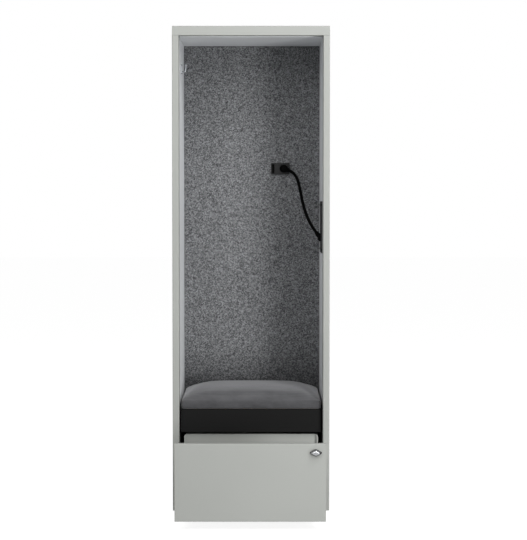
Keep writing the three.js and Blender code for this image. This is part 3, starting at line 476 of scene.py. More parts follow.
@dataclass(frozen=True)
class PressedFelt(Finish):
    """Matted fibre in several greys, with clumps and pale flecks, and painted shade that darkens it towards the
    seat below.
    """

    clump: float = 0.016
    fibre: float = 0.0032
    contrast: float = 0.22
    fleck: Colour = (168, 169, 171)
    fleck_share: float = 0.75
    gap_share: float = 0.9
    gap_shade: float = 0.25
    # Strength of the painted shade on the felt's lower part: 1 paints none, lower values paint it darker.
    foot: float = 1.0
    painted_shade_low: float = 0.44
    painted_shade_high: float = 0.60
    specular: float = 0.15
    relief: float = 0.8
    depth: float = 1.2 * MM

    def paint(self, work: MaterialGraph) -> None:
        """Paints the felt.

        Args:
            work: The material's graph.
        """
        fibres = work.effect(work.effects.fibres, Clump=self.clump, Fibre=self.fibre)
        ground = work.blend(fibres["Clumps"], *self.shades(1 - self.contrast, 1 + self.contrast))
        pale = work.math("MULTIPLY", fibres["Flecks"], self.fleck_share)
        dark = work.math("MULTIPLY", fibres["Gaps"], self.gap_share)
        flecked = work.blend(pale, ground, linear(self.fleck))
        fibre = work.blend(dark, flecked, *self.shades(self.gap_shade))
        # Painted shade: below a band of heights the colour is blended towards black, in place of the cushion's
        # shade on the felt.
        height = work.axis("Z", work.coords)
        low = work.ramp(height, self.painted_shade_low, self.painted_shade_high, 1 - self.foot, 0.0)
        work.shade(Specular_IOR_Level=self.specular, Base_Color=work.blend(low, fibre, BLACK))
        work.relief(fibres["Height"], self.relief, self.depth)


@dataclass(frozen=True)
class Velour(Finish):
    """Short dense pile whose nap lies in patches and catches the light at its edges."""

    patch: float = 0.05
    pile: float = 0.0009
    brushed: Point = (0.6, 1.0, 1.0)
    contrast: float = 0.3
    tip_share: float = 0.25
    tip_shade: float = 1.5
    sheen: float = 0.64
    sheen_spread: float = 0.5
    sheen_tint: Shade = (0.8, 0.8, 0.82, 1.0)
    specular: float = 0.1
    relief: float = 0.35
    depth: float = 0.5 * MM

    def paint(self, work: MaterialGraph) -> None:
        """Paints the velour.

        Args:
            work: The material's graph.
        """
        lay = work.add("ShaderNodeMapping", {"Vector": work.coords, "Scale": self.brushed}).outputs[0]
        nap = work.effect(work.effects.fibres, Vector=lay, Clump=self.patch, Fibre=self.pile)
        patches = work.blend(nap["Clumps"], *self.shades(1 - self.contrast, 1 + self.contrast))
        tips = work.math("MULTIPLY", nap["Flecks"], self.tip_share)
        tipped = work.blend(tips, patches, *self.shades(self.tip_shade))
        work.shade(Specular_IOR_Level=self.specular, Base_Color=tipped)
        work.shade(Sheen_Weight=self.sheen, Sheen_Roughness=self.sheen_spread, Sheen_Tint=self.sheen_tint)
        work.relief(nap["Height"], self.relief, self.depth)


@dataclass(frozen=True)
class Plated(Finish):
    """Plated or polished metal with a faint drawn unevenness, and a painted dark reflection round its rim."""

    grain: float = 0.002
    breadth: float = 0.03
    cast: Span = (0.92, 1.04)
    spread: float = 0.06
    smoothest: float = 0.02
    relief: float = 0.15
    depth: float = 0.02 * MM
    # Painted dark reflection: share of the colour kept on faces turned from the front; 1 paints none.
    rim: float = 1.0
    painted_reflection_span: Span = (0.8, 0.3)

    def paint(self, work: MaterialGraph) -> None:
        """Paints the metal.

        Args:
            work: The material's graph.
        """
        grain = work.effect(work.effects.grain, Size=self.grain, Breadth=self.breadth)
        tone = work.blend(grain["Broad"], *self.shades(*self.cast))
        # Painted reflection: faces turned from the front take a darker copy of the colour, standing in for a
        # dark room mirrored there.
        painted_reflection_mask = work.ramp(work.math("ABSOLUTE", work.facing("Y")), *self.painted_reflection_span)
        low, high = max(self.smoothest, self.roughness - self.spread), self.roughness + self.spread
        rough = work.ramp(grain["Fine"], *NOISE_SPAN, low, high)
        metal = work.blend(painted_reflection_mask, tone, *self.shades(self.rim))
        work.shade(Metallic=1.0, Base_Color=metal, Roughness=rough)
        work.relief(grain["Fine"], self.relief, self.depth)


@dataclass(frozen=True)
class Moulded(Finish):
    """Moulded plastic or rubber with a fine spark-eroded texture."""

    texture: float = 0.0007
    breadth: float = 0.02
    cast: Span = (0.88, 1.12)
    spread: float = 0.06
    relief: float = 0.3
    depth: float = 0.05 * MM
    specular: float = 0.3
    dust: float = 0.12
    dust_shade: Shade = (0.3, 0.3, 0.29, 1.0)

    def paint(self, work: MaterialGraph) -> None:
        """Paints the moulding.

        Args:
            work: The material's graph.
        """
        grain = work.effect(work.effects.grain, Size=self.texture, Breadth=self.breadth)
        dust = work.effect(work.effects.dust, Amount=self.dust)["Mask"]
        tone = work.blend(grain["Broad"], *self.shades(*self.cast))
        low, high = self.roughness - self.spread, self.roughness + self.spread
        rough = work.ramp(grain["Fine"], *NOISE_SPAN, low, high)
        dusted = work.blend(dust, tone, self.dust_shade)
        work.shade(Specular_IOR_Level=self.specular, Base_Color=dusted, Roughness=rough)
        work.relief(grain["Fine"], self.relief, self.depth)


@dataclass(frozen=True)
class Plywood(Finish):
    """Birch plywood: long face grain and layered edges."""

    layer: float = 0.0015
    grain: Point = (6.0, 90.0, 6.0)
    face: Span = (0.8, 1.15)
    edge: Span = (0.55, 1.1)
    edge_span: Span = (-0.3, 0.3)
    relief: float = 0.3
    depth: float = 0.1 * MM

    def paint(self, work: MaterialGraph) -> None:
        """Paints the wood.

        Args:
            work: The material's graph.
        """
        along = work.add("ShaderNodeMapping", {"Vector": work.coords, "Scale": self.grain}).outputs[0]
        figure = work.noise(along, 1.0, 5.0, 0.6)
        turns = work.math("MULTIPLY", work.axis("Z", work.coords), math.pi / self.layer)
        layers = work.ramp(work.math("SINE", turns), *self.edge_span)
        upright = work.math("SUBTRACT", 1.0, work.math("ABSOLUTE", work.facing("Z")), clamp=True)
        face = work.blend(figure, *self.shades(*self.face))
        edge = work.blend(layers, *self.shades(*self.edge))
        work.shade(Base_Color=work.blend(upright, face, edge))
        work.relief(figure, self.relief, self.depth)


FINISHES: dict[Slot, Finish] = {
    Slot.GREY_STEEL: PowderCoat("light_grey_coat", (165, 167, 163), 0.46),
    Slot.PALE_STEEL: PowderCoat("pale_grey_coat", (236, 238, 240), 0.46),
    Slot.BLACK_STEEL: PowderCoat("black_coat", (31, 31, 31), 0.5, specular=0.03, dust=0.03),
    Slot.ZINC_STEEL: Plated("bright_zinc", (158, 161, 165), 0.34),
    # The chrome's rim=0.1 paints a dark reflection on faces turned from the front.
    Slot.CHROME: Plated("satin_chrome", (150, 151, 153), 0.2, spread=0.03, relief=0.05, rim=0.1),
    # The felt's foot=0.5 paints shade over its lower part, towards the cushion.
    Slot.FELT: PressedFelt("melange_felt", (111, 112, 114), 0.95, foot=0.5),
    Slot.VELOUR: Velour("grey_velour", (73, 73, 75), 0.9),
    Slot.CORE: PressedFelt("absorber_wool", (88, 89, 82), 1.0, clump=0.02, fibre=0.004),
    Slot.PLYWOOD: Plywood("birch_plywood", (196, 164, 118), 0.6),
    Slot.BLACK_PLASTIC: Moulded("black_moulding", (28, 28, 29), 0.5),
    Slot.RUBBER: Moulded("soft_black", (2, 2, 2), 0.6, texture=0.0005, specular=0.04),
}

DRESSED_AS: dict[str, Slot] = {"narrow_insert": Slot.RUBBER}


def add_object(name: str, data: bpy.types.ID) -> bpy.types.Object:
    """Adds an object to the scene.

    Args:
        name: The object's name.
        data: Its mesh, curve, camera or lamp.

    Returns:
        The object, at the origin.
    """
    made = bpy.data.objects.new(name, data)
    bpy.context.scene.collection.objects.link(made)
    return made


def soften_edges(mesh: bpy.types.Mesh, angle: float) -> None:
    """Shades a mesh smooth over edges that turn by less than an angle in degrees."""
    mesh.shade_smooth()
    mesh.set_sharp_from_angle(angle=math.radians(angle))


class Workshop:
    """Holds the materials and turns meshes into pieces of the object."""

    def __init__(self) -> None:
        """Builds every finish once."""
        effects = SharedEffects()
        self.materials = {slot: finish.material(effects) for slot, finish in FINISHES.items()}

    def piece(self, name: str, mesh: bpy.types.Mesh, smooth: float | None = 40.0) -> bpy.types.Object:
        """Makes an object at the origin from a mesh.

        Args:
            name: The piece's name.
            mesh: Its mesh, with its place in it.
            smooth: Angle in degrees under which edges are smooth, or None for flat faces.

        Returns:
            The object.
        """
        if smooth is not None:
            soften_edges(mesh, smooth)
        return add_object(name, mesh)

    def fit(self, piece: bpy.types.Object, slot: Slot, body: Body, *nodes: str) -> bpy.types.Object:
        """Finishes a piece and fixes it to its body.

        Args:
            piece: The piece.
            slot: Its finish.
            body: The body that carries it.
            *nodes: Solids that it stands for.

        Returns:
            The piece.
        """
        if not piece.data.materials:
            piece.data.materials.append(self.materials[slot])
        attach(piece, body.value)
        if nodes:
            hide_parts(*nodes)
        LOG.info("%s rides on %s%s", piece.name, body.value, f" for {', '.join(nodes)}" if nodes else "")
        return piece

    def dress(self, frame: dict[str, Any]) -> None:
        """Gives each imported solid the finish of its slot, or the one it is named to look like.
        """
        for entry in frame["record"]["subparts"]:
            solid = frame["nodes"][entry["node"]]
            slot = DRESSED_AS.get(entry["node"], Slot(entry["material_slot"]))
            solid.data.materials.clear()
            solid.data.materials.append(self.materials[slot])
        LOG.info("dressed %d solids", len(frame["nodes"]))


def mesh_from(name: str, shape: bmesh.types.BMesh) -> bpy.types.Mesh:
    """Writes a bmesh into a new mesh and frees it.

    Args:
        name: Name of the mesh.
        shape: The bmesh.

    Returns:
        The mesh.
    """
    mesh = bpy.data.meshes.new(name)
    shape.normal_update()
    shape.to_mesh(mesh)
    shape.free()
    return mesh


def plain_mesh(piece: bpy.types.Object) -> bpy.types.Mesh:
    """Applies a piece's modifiers.

    Args:
        piece: Object with live modifiers.

    Returns:
        Its new mesh, which it then holds with no modifier.
    """
    graph = bpy.context.evaluated_depsgraph_get()
    mesh = bpy.data.meshes.new_from_object(piece.evaluated_get(graph))
    piece.modifiers.clear()
    piece.data = mesh
    return mesh


def carve(piece: bpy.types.Object, shape: bmesh.types.BMesh) -> None:
    """Cuts a closed shape out of a piece.

    Args:
        piece: The piece, whose mesh changes.
        shape: What is cut out; it is freed.
    """
    tool = add_object("carving_tool", mesh_from("carving_tool", shape))
    cutter = piece.modifiers.new("carve", "BOOLEAN")
    cutter.operation = "DIFFERENCE"
    cutter.solver = "EXACT"
    cutter.object = tool
    plain_mesh(piece)
    bpy.data.objects.remove(tool)


def rings(shape: bmesh.types.BMesh, loops: Sequence[Sequence[Vector]], close: bool = True) -> None:
    """Skins a row of rings into a tube.

    Args:
        shape: The bmesh that takes the faces.
        loops: Rings with the same number of points.
        close: Whether both ends are capped.
    """
    rows = [[shape.verts.new(point) for point in loop] for loop in loops]
    count = len(rows[0])
    for lower, upper in zip(rows, rows[1:]):
        for index in range(count):
            after = (index + 1) % count
            shape.faces.new((lower[index], lower[after], upper[after], upper[index]))
    if close:
        shape.faces.new(list(reversed(rows[0])))
        shape.faces.new(rows[-1])


def round_angles(count: int) -> list[float]:
    """Gives evenly spaced angles round a circle."""
    return [2 * math.pi * index / count for index in range(count)]


def turned(
    shape: bmesh.types.BMesh, profile: Sequence[Span], base: Vector, axis: Vector, sides: int = 48
) -> None:
    """Adds a turned solid.

    Args:
        shape: The bmesh that takes it.
        profile: Radius and height from the base to the end.
        base: Foot of the axis.
        axis: Direction of the axis.
        sides: Faces round it.
    """
    turn = Vector((0, 0, 1)).rotation_difference(axis)
    loops = []
    for radius, height in profile:
        ring = [Vector((radius * math.cos(a), radius * math.sin(a), height)) for a in round_angles(sides)]
        loops.append([base + turn @ point for point in ring])
    rings(shape, loops)


def swept(shape: bmesh.types.BMesh, path: Sequence[Vector], radius: float, sides: int = 24) -> None:
    """Adds a round rod along a path.

    Args:
        shape: The bmesh that takes it.
        path: Points along the middle of the rod.
        radius: The rod's radius.
        sides: Faces round it.
    """
    heading = (path[1] - path[0]).normalized()
    across = heading.orthogonal().normalized()
    loops = []
    for index, point in enumerate(path):
        ahead = path[min(index + 1, len(path) - 1)] - path[max(index - 1, 0)]
        turn = heading.rotation_difference(ahead.normalized())
        across = turn @ across
        heading = ahead.normalized()
        side = heading.cross(across)
        spokes = [across * math.cos(a) + side * math.sin(a) for a in round_angles(sides)]
        loops.append([point + radius * spoke for spoke in spokes])
    rings(shape, loops)


def rounded_rectangle(half_a: float, half_b: float, radius: float, steps: int = 8) -> list[Span]:
    """Gives the outline of a rectangle with round corners.

    Args:
        half_a: Half its first side.
        half_b: Half its second side.
        radius: Radius of the corners.
        steps: Steps in each corner.

    Returns:
        Points round it.
    """
    points = []
    for quarter, (a, b) in enumerate(((1, 1), (-1, 1), (-1, -1), (1, -1))):
        for step in range(steps + 1):
            angle = math.pi / 2 * (quarter + step / steps)
            across, up = radius * math.cos(angle), radius * math.sin(angle)
            points.append((a * (half_a - radius) + across, b * (half_b - radius) + up))
    return points


def smooth_path(corners: Sequence[Vector], count: int) -> list[Vector]:
    """Runs a smooth line through points.

    Args:
        corners: Points that it passes through.
        count: Steps between two of them.

    Returns:
        Points along the line.
    """
    line = [2 * corners[0] - corners[1], *corners, 2 * corners[-1] - corners[-2]]
    path = []
    for a, b, c, d in zip(line, line[1:], line[2:], line[3:]):
        for step in range(count):
            t = step / count
            bend = (2 * a - 5 * b + 4 * c - d) * t ** 2
            twist = (3 * b - a - 3 * c + d) * t ** 3
            path.append(0.5 * (2 * b + (c - a) * t + bend + twist))
    return [*path, corners[-1]]


class PointTree:
    """Geometry node tree that sets one shape on each point that it is given."""

    def __init__(self, name: str, sizes: Sequence[tuple[str, Socket, float]]) -> None:
        """Starts the tree.

        Args:
            name: The tree's name.
            sizes: Name, type and default of each of its sizes.
        """
        inputs = [("Geometry", Socket.GEOMETRY, None), *sizes, ("Material", Socket.MATERIAL, None)]
        outputs = [("Geometry", Socket.GEOMETRY)]
        self.graph, given, self.result = new_group("GeometryNodeTree", name, inputs, outputs)
        self.given = given.outputs
        self.tree = self.graph.tree

    def set_shape(self, points: Any, shape: Any, way: Any, scale: Any = (1.0, 1.0, 1.0)) -> None:
        """Sets the shape on the points, makes it real and finishes it.

        Args:
            points: Socket with the points.
            shape: Socket with the shape.
            way: Socket with the direction of each shape's axis.
            scale: Size of each shape.
        """
        graph = self.graph
        turn = graph.add("FunctionNodeAlignRotationToVector", {"Vector": way}, axis="Z").outputs[0]
        inputs = {"Points": points, "Instance": shape, "Rotation": turn, "Scale": scale}
        spread = graph.add("GeometryNodeInstanceOnPoints", inputs).outputs[0]
        real = graph.add("GeometryNodeRealizeInstances", {"Geometry": spread}).outputs[0]
        finish = {"Geometry": real, "Material": self.given["Material"]}
        graph.fill(self.result, {"Geometry": graph.add("GeometryNodeSetMaterial", finish).outputs[0]})


class FastenerTree(PointTree):
    """Sets a recessed head on every point, square to its face."""

    sides: int = 18

    def __init__(self) -> None:
        """Builds the tree."""
        sizes = (("Diameter", 0.008), ("Height", 0.002), ("Recess", 0.45))
        super().__init__("fastener_heads", [(name, Socket.NUMBER, size) for name, size in sizes])
        kind = "GeometryNodeInputNamedAttribute"
        outward = self.graph.add(kind, {"Name": "outward"}, data_type="FLOAT_VECTOR").outputs[0]
        self.set_shape(self.given["Geometry"], self.head(), outward)

    def head(self) -> bpy.types.NodeSocket:
        """Builds one head from a disc that is drawn up, narrowed and sunk again.

        Returns:
            The head's geometry.
        """
        graph, given = self.graph, self.given
        radius = graph.math("MULTIPLY", given["Diameter"], 0.5)
        disc = graph.add("GeometryNodeMeshCircle", {"Vertices": self.sides, "Radius": radius}, fill_type="NGON")
        shape = disc.outputs[0]
        top: dict[str, Any] = {}
        rises_and_sizes = ((0.55, 1.0), (0.45, 0.8), (0.0, given["Recess"]), (-0.7, 0.92))
        for rise, size in rises_and_sizes:
            lift = graph.math("MULTIPLY", given["Height"], rise)
            drawn = graph.add("GeometryNodeExtrudeMesh", {"Mesh": shape, "Offset Scale": lift, **top})
            top = {"Selection": drawn.outputs["Top"]}
            inputs = {"Geometry": drawn.outputs["Mesh"], "Scale": size, **top}
            shape = graph.add("GeometryNodeScaleElements", inputs).outputs[0]
        return shape


class RibTree(PointTree):
    """Sets a row of round ribs along a tapered boot."""

    hoop_sides: int = 32
    bead_sides: int = 8

    def __init__(self) -> None:
        """Builds the tree."""
        sizes = (("Root", 0.007), ("Tip", 0.0055), ("Bead", 0.0008))
        numbers = [(name, Socket.NUMBER, size) for name, size in sizes]
        super().__init__("boot_ribs", [("Count", Socket.COUNT, 5), *numbers])
        graph, given = self.graph, self.given
        line = graph.add("GeometryNodeMeshToCurve", {"Mesh": given["Geometry"]}).outputs[0]
        spaced = graph.add("GeometryNodeResampleCurve", {"Curve": line, "Count": given["Count"]}).outputs[0]
        hoop = self.circle(self.hoop_sides, given["Root"])
        bead = self.circle(self.bead_sides, given["Bead"])
        rib = graph.add("GeometryNodeCurveToMesh", {"Curve": hoop, "Profile Curve": bead}).outputs[0]
        share = graph.add("GeometryNodeSplineParameter").outputs["Factor"]
        slope = graph.math("SUBTRACT", graph.math("DIVIDE", given["Tip"], given["Root"]), 1.0)
        size = graph.math("ADD", 1.0, graph.math("MULTIPLY", share, slope))
        self.set_shape(spaced, rib, graph.add("GeometryNodeInputTangent").outputs[0], size)

    def circle(self, sides: int, radius: Any) -> bpy.types.NodeSocket:
        """Gives a circle as a curve."""
        inputs = {"Resolution": sides, "Radius": radius}
        return self.graph.add("GeometryNodeCurvePrimitiveCircle", inputs).outputs[0]


def run_tree(
    piece: bpy.types.Object, tree: bpy.types.NodeTree, values: dict[str, Any]
) -> bpy.types.Mesh:
    """Runs a geometry node tree on a piece and keeps what it makes.

    Args:
        piece: Object whose mesh the tree takes.
        tree: The tree.
        values: Its inputs by name.

    Returns:
        The plain mesh that the piece then holds.
    """
    modifier = piece.modifiers.new(tree.name, "NODES")
    modifier.node_group = tree
    for socket in tree.interface.items_tree:
        if socket.in_out == "INPUT" and socket.name in values:
            modifier[socket.identifier] = values[socket.name]
    return plain_mesh(piece)


@dataclass(frozen=True)
class FastenerRow:
    """Heads of one kind on one body."""

    name: str
    body: Body
    slot: Slot
    diameter: float
    height: float
    recess: float
    places: tuple[tuple[Point, Point], ...]
    sharp: float = 35.0

    def make(self, workshop: Workshop, heads: FastenerTree) -> bpy.types.Object:
        """Sets the heads.

        Args:
            workshop: The workshop.
            heads: The tree that makes them.

        Returns:
            The piece.
        """
        mesh = bpy.data.meshes.new(self.name)
        mesh.from_pydata([place for place, _ in self.places], [], [])
        outward = mesh.attributes.new("outward", "FLOAT_VECTOR", "POINT")
        for item, (_, normal) in zip(outward.data, self.places):
            item.vector = normal
        piece = workshop.piece(self.name, mesh, smooth=None)
        values = {
            "Diameter": self.diameter,
            "Height": self.height,
            "Recess": self.recess,
            "Material": workshop.materials[self.slot],
        }
        soften_edges(run_tree(piece, heads.tree, values), self.sharp)
        return workshop.fit(piece, self.slot, self.body)


@dataclass
class FeltBack:
    """Felt board on the back of the niche, with softened edges and the outlet's opening."""

    node: str = "felt_lining"
    opening_x: tuple[float, float] = (0.0795, 0.1525)
    opening_z: tuple[float, float] = (1.2965, 1.3395)
    softness: float = 0.0022
    segments: int = 4

    def make(self, workshop: Workshop) -> bpy.types.Object:
        """Builds the board.

        Args:
            workshop: The workshop.

        Returns:
            The piece.
        """
        low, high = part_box(self.node)
        columns = (low[0], *self.opening_x, high[0])
        rows = (low[2], *self.opening_z, high[2])
        shape = bmesh.new()
        grid = [[shape.verts.new((x, high[1], z)) for z in rows] for x in columns]
        for i in range(3):
            for j in range(3):
                if (i, j) != (1, 1):
                    shape.faces.new((grid[i][j], grid[i][j + 1], grid[i + 1][j + 1], grid[i + 1][j]))
        drawn = bmesh.ops.extrude_face_region(shape, geom=shape.faces[:])
        front = [item for item in drawn["geom"] if isinstance(item, bmesh.types.BMVert)]
        bmesh.ops.translate(shape, verts=front, vec=(0, low[1] - high[1], 0))
        bmesh.ops.recalc_face_normals(shape, faces=shape.faces[:])
        rim = [
            edge for edge in shape.edges
            if all(abs(vert.co.y - low[1]) < 1e-6 for vert in edge.verts)
            and edge.calc_face_angle(0.0) > 1.0
        ]
        bmesh.ops.bevel(
            shape, geom=rim, offset=self.softness, segments=self.segments, profile=0.5,
            affect="EDGES", clamp_overlap=True)
        piece = workshop.piece("felt_board", mesh_from("felt_board", shape))
        return workshop.fit(piece, Slot.FELT, Body.CARCASS, self.node)


CLOTH: dict[str, float] = {
    "quality": 5,
    "mass": 0.25,
    "tension_stiffness": 12,
    "compression_stiffness": 6,
    "shear_stiffness": 4,
    "bending_stiffness": 0.6,
}


@dataclass
class SeatCushion:
    """Crowned velour cushion over its plywood board, swelled as cloth over foam."""

    node: str = "seat_cushion"
    board: str = "seat_board"
    half_width: float = 0.2735
    front: float = -0.232
    rear: float = 0.188
    base: float = 0.3883
    edge: float = 0.034
    roll: float = 0.012
    roll_squareness: float = 5.0
    front_squareness: float = 4.0
    crown: float = 0.024
    crown_squareness: float = 5.0
    fall: float = 0.020
    fall_power: float = 2.2
    swell_up: float = 0.002
    draw: float = 0.002
    corner: float = 0.004
    nose: float = 0.044
    nose_turn: float = 0.8
    nose_squareness: float = 8.0
    tuck: float = 0.003
    slack: float = 0.003
    voxel: float = 0.006
    pressure: float = 4.0
    cap: float = 0.005
    give: float = 0.001
    passes: int = 16
    side_limit: float = 0.2744
    front_limit: float = -0.2345
    rear_limit: float = 0.1893
    seam: float = 0.0003
    tuck_fade: int = 4
    corner_fade: int = 8
    nose_fade: int = 4
    held: float = 0.006
    frames: int = 20
    cached_frames: int = 25
    board_corner: float = 0.012
    pocket_below: float = 0.01
    sharp: float = 70.0

    def rim(self, share: float) -> float:
        """Gives the rolled rim's height share at a place from -1 to 1 across the cushion."""
        return max(0.0, 1 - abs(share) ** self.roll_squareness) ** (1 / self.roll_squareness)

    def crest(self, share: float) -> float:
        """Gives the roll's height share from front to back: easy over the nose, tighter at the rear."""
        return 1 - abs(share) ** self.front_squareness if share < 0 else self.rim(share)

    def height(self, u: float, v: float) -> float:
        """Gives the height of the cushion's top over its base.

        Args:
            u: Share across, from -1 to 1.
            v: Share from front to back, from -1 to 1.

        Returns:
            The height in metres.
        """
        arch = 1 - abs(u) ** self.crown_squareness
        rolled = self.roll * self.rim(u) * self.crest(v)
        fallen = self.fall * max(0.0, -v) ** self.fall_power
        return self.edge + rolled + arch * (self.crown - fallen + self.swell_up * (1 - v * v))

    def place(self, u: float, v: float, rise: float, slack: float) -> Vector:
        """Gives a point of the cushion's skin.

        Args:
            u: Share across, from -1 to 1.
            v: Share from front to back, from -1 to 1.
            rise: Share of the way from the underside to the top.
            slack: How much slimmer than full the cushion is.

        Returns:
            The point.
        """
        middle = (self.front + self.rear) / 2
        depth = (self.rear - self.front) / 2
        drawn_in = slack + self.tuck * (1 - rise) ** self.tuck_fade
        corner = 1 - self.corner * (u * v) ** self.corner_fade
        x = u * (self.half_width - self.draw * (1 - v * v) - drawn_in) * corner
        y = v * (depth - self.draw * (1 - u * u) - drawn_in) * corner
        rounded = 1 - math.sqrt(1 - self.nose_turn * rise * rise)
        across = 1 - abs(u) ** self.nose_squareness
        y += self.nose * rounded * across * ((1 - v) / 2) ** self.nose_fade
        return Vector((x, middle + y, self.base + rise * (self.height(u, v) - slack)))

    def form(self, slack: float, columns: int = 64, rows: int = 48, levels: int = 16) -> bpy.types.Mesh:
        """Builds the cushion's form.

        Args:
            slack: How much slimmer than full it is.
            columns: Steps across.
            rows: Steps from front to back.
            levels: Steps up its sides.

        Returns:
            The closed mesh.
        """
        shape = bmesh.new()
        spread = [math.sin(math.pi / 2 * (2 * i / columns - 1)) for i in range(columns + 1)]
        reach = [math.sin(math.pi / 2 * (2 * j / rows - 1)) for j in range(rows + 1)]
        rim = [(i, 0) for i in range(columns)]
        rim += [(columns, j) for j in range(rows)]
        rim += [(i, rows) for i in range(columns, 0, -1)]
        rim += [(0, j) for j in range(rows, 0, -1)]
        top = [[shape.verts.new(self.place(u, v, 1.0, slack)) for v in reach] for u in spread]
        under = [[shape.verts.new(self.place(u, v, 0.0, slack)) for v in reach] for u in spread]
        for i in range(columns):
            for j in range(rows):
                shape.faces.new((top[i][j], top[i + 1][j], top[i + 1][j + 1], top[i][j + 1]))
                shape.faces.new((under[i][j], under[i][j + 1], under[i + 1][j + 1], under[i + 1][j]))
        sides = [[under[i][j] for i, j in rim]]
        for level in range(1, levels):
            skin = [self.place(spread[i], reach[j], level / levels, slack) for i, j in rim]
            sides.append([shape.verts.new(point) for point in skin])
        sides.append([top[i][j] for i, j in rim])
        for low, high in zip(sides, sides[1:]):
            for k in range(len(rim)):
                following = (k + 1) % len(rim)
                shape.faces.new((low[k], low[following], high[following], high[k]))
        return mesh_from("velour_cushion", shape)

    def swell(self, piece: bpy.types.Object) -> None:
        """Blows the skin out as cloth, then eases how far each point has moved along its normal.

        Args:
            piece: The slack cushion.
        """
        remesh = piece.modifiers.new("even_skin", "REMESH")
        remesh.mode = "VOXEL"
        remesh.voxel_size = self.voxel
        mesh = plain_mesh(piece)
        rest = points_of(mesh)
        held = piece.vertex_groups.new(name="held")
        held.add([int(i) for i in np.nonzero(rest[:, 2] < self.base + self.held)[0]], 1.0, "REPLACE")
        cloth = piece.modifiers.new("skin", "CLOTH")
        settings = cloth.settings
        for name, value in CLOTH.items():
            setattr(settings, name, value)
        settings.use_pressure = True
        settings.uniform_pressure_force = self.pressure
        settings.vertex_group_mass = "held"
        settings.effector_weights.gravity = 0.0
        cloth.collision_settings.use_collision = False
        cloth.point_cache.frame_start = 1
        cloth.point_cache.frame_end = self.cached_frames
        scene = bpy.context.scene
        for step in range(1, self.frames + 1):
            scene.frame_set(step)
        blown = points_of(piece.evaluated_get(bpy.context.evaluated_depsgraph_get()).to_mesh())
        piece.modifiers.clear()
        piece.vertex_groups.clear()
        scene.frame_set(1)
        way = points_of(mesh, "normal")
        move = np.sum((blown - rest) * way, axis=1)
        outward, inward = (limit * np.tanh(move / limit) for limit in (self.cap, self.give))
        eased = np.where(move > 0, outward, inward)
        self.settle(mesh, rest + way * self.evened(mesh, eased)[:, None])

    def evened(self, mesh: bpy.types.Mesh, move: np.ndarray) -> np.ndarray:
        """Evens out how far neighbouring points move.

        Args:
            mesh: The skin.
            move: Movement of each of its vertices.

        Returns:
            The evened movement.
        """
        flat = np.empty(len(mesh.edges) * 2, dtype=np.int32)
        mesh.edges.foreach_get("vertices", flat)
        pairs = flat.reshape(-1, 2)
        start, end = np.concatenate([pairs, pairs[:, ::-1]]).T
        count = np.bincount(start, minlength=len(move))
        for _ in range(self.passes):
            around = np.bincount(start, weights=move[end], minlength=len(move)) / count
            move = (move + around) / 2
        return move

    def settle(self, mesh: bpy.types.Mesh, points: np.ndarray) -> None:
        """Keeps the skin off the walls, the felt and the bench.

        Args:
            mesh: Mesh that takes the points.
            points: Places of its vertices.
        """
        points[:, 0] = np.clip(points[:, 0], -self.side_limit, self.side_limit)
        points[:, 1] = np.clip(points[:, 1], self.front_limit, self.rear_limit)
        points[:, 2] = np.maximum(points[:, 2], self.base)
        mesh.vertices.foreach_set("co", points.astype(np.float32).ravel())
        mesh.update()

    def pocket(self, piece: bpy.types.Object) -> None:
        """Opens the underside for the plywood board.

        Args:
            piece: The cushion.
        """
        low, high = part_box(self.board)
        gap = self.seam
        shape = bmesh.new()
        half_x, half_y = (high[0] - low[0]) / 2 + gap, (high[1] - low[1]) / 2 + gap
        outline = rounded_rectangle(half_x, half_y, self.board_corner + gap)
        middle = (low[1] + high[1]) / 2
        levels = (low[2] - self.pocket_below, high[2] + gap)
        rings(shape, [[Vector((x, middle + y, z)) for x, y in outline] for z in levels])
        carve(piece, shape)

    def make(self, workshop: Workshop) -> bpy.types.Object:
        """Builds the cushion.

        Args:
            workshop: The workshop.

        Returns:
            The piece.
        """
        piece = workshop.piece("velour_cushion", self.form(self.slack))
        self.swell(piece)
        finer = piece.modifiers.new("finer", "SUBSURF")
        finer.levels = finer.render_levels = 1
        self.settle(plain_mesh(piece), points_of(piece.data))
        self.pocket(piece)
        soften_edges(piece.data, self.sharp)
        piece.data.materials.clear()
        workshop.fit(piece, Slot.VELOUR, Body.CARCASS, self.node)
        return piece


def points_of(mesh: bpy.types.Mesh, kind: str = "co") -> np.ndarray:
    """Reads a mesh's vertices.

    Args:
        mesh: The mesh.
        kind: "co" for their places, "normal" for their normals.

    Returns:
        An array of vectors.
    """
    flat = np.empty(len(mesh.vertices) * 3, dtype=np.float32)
    mesh.vertices.foreach_get(kind, flat)
    return flat.reshape(-1, 3).astype(float)


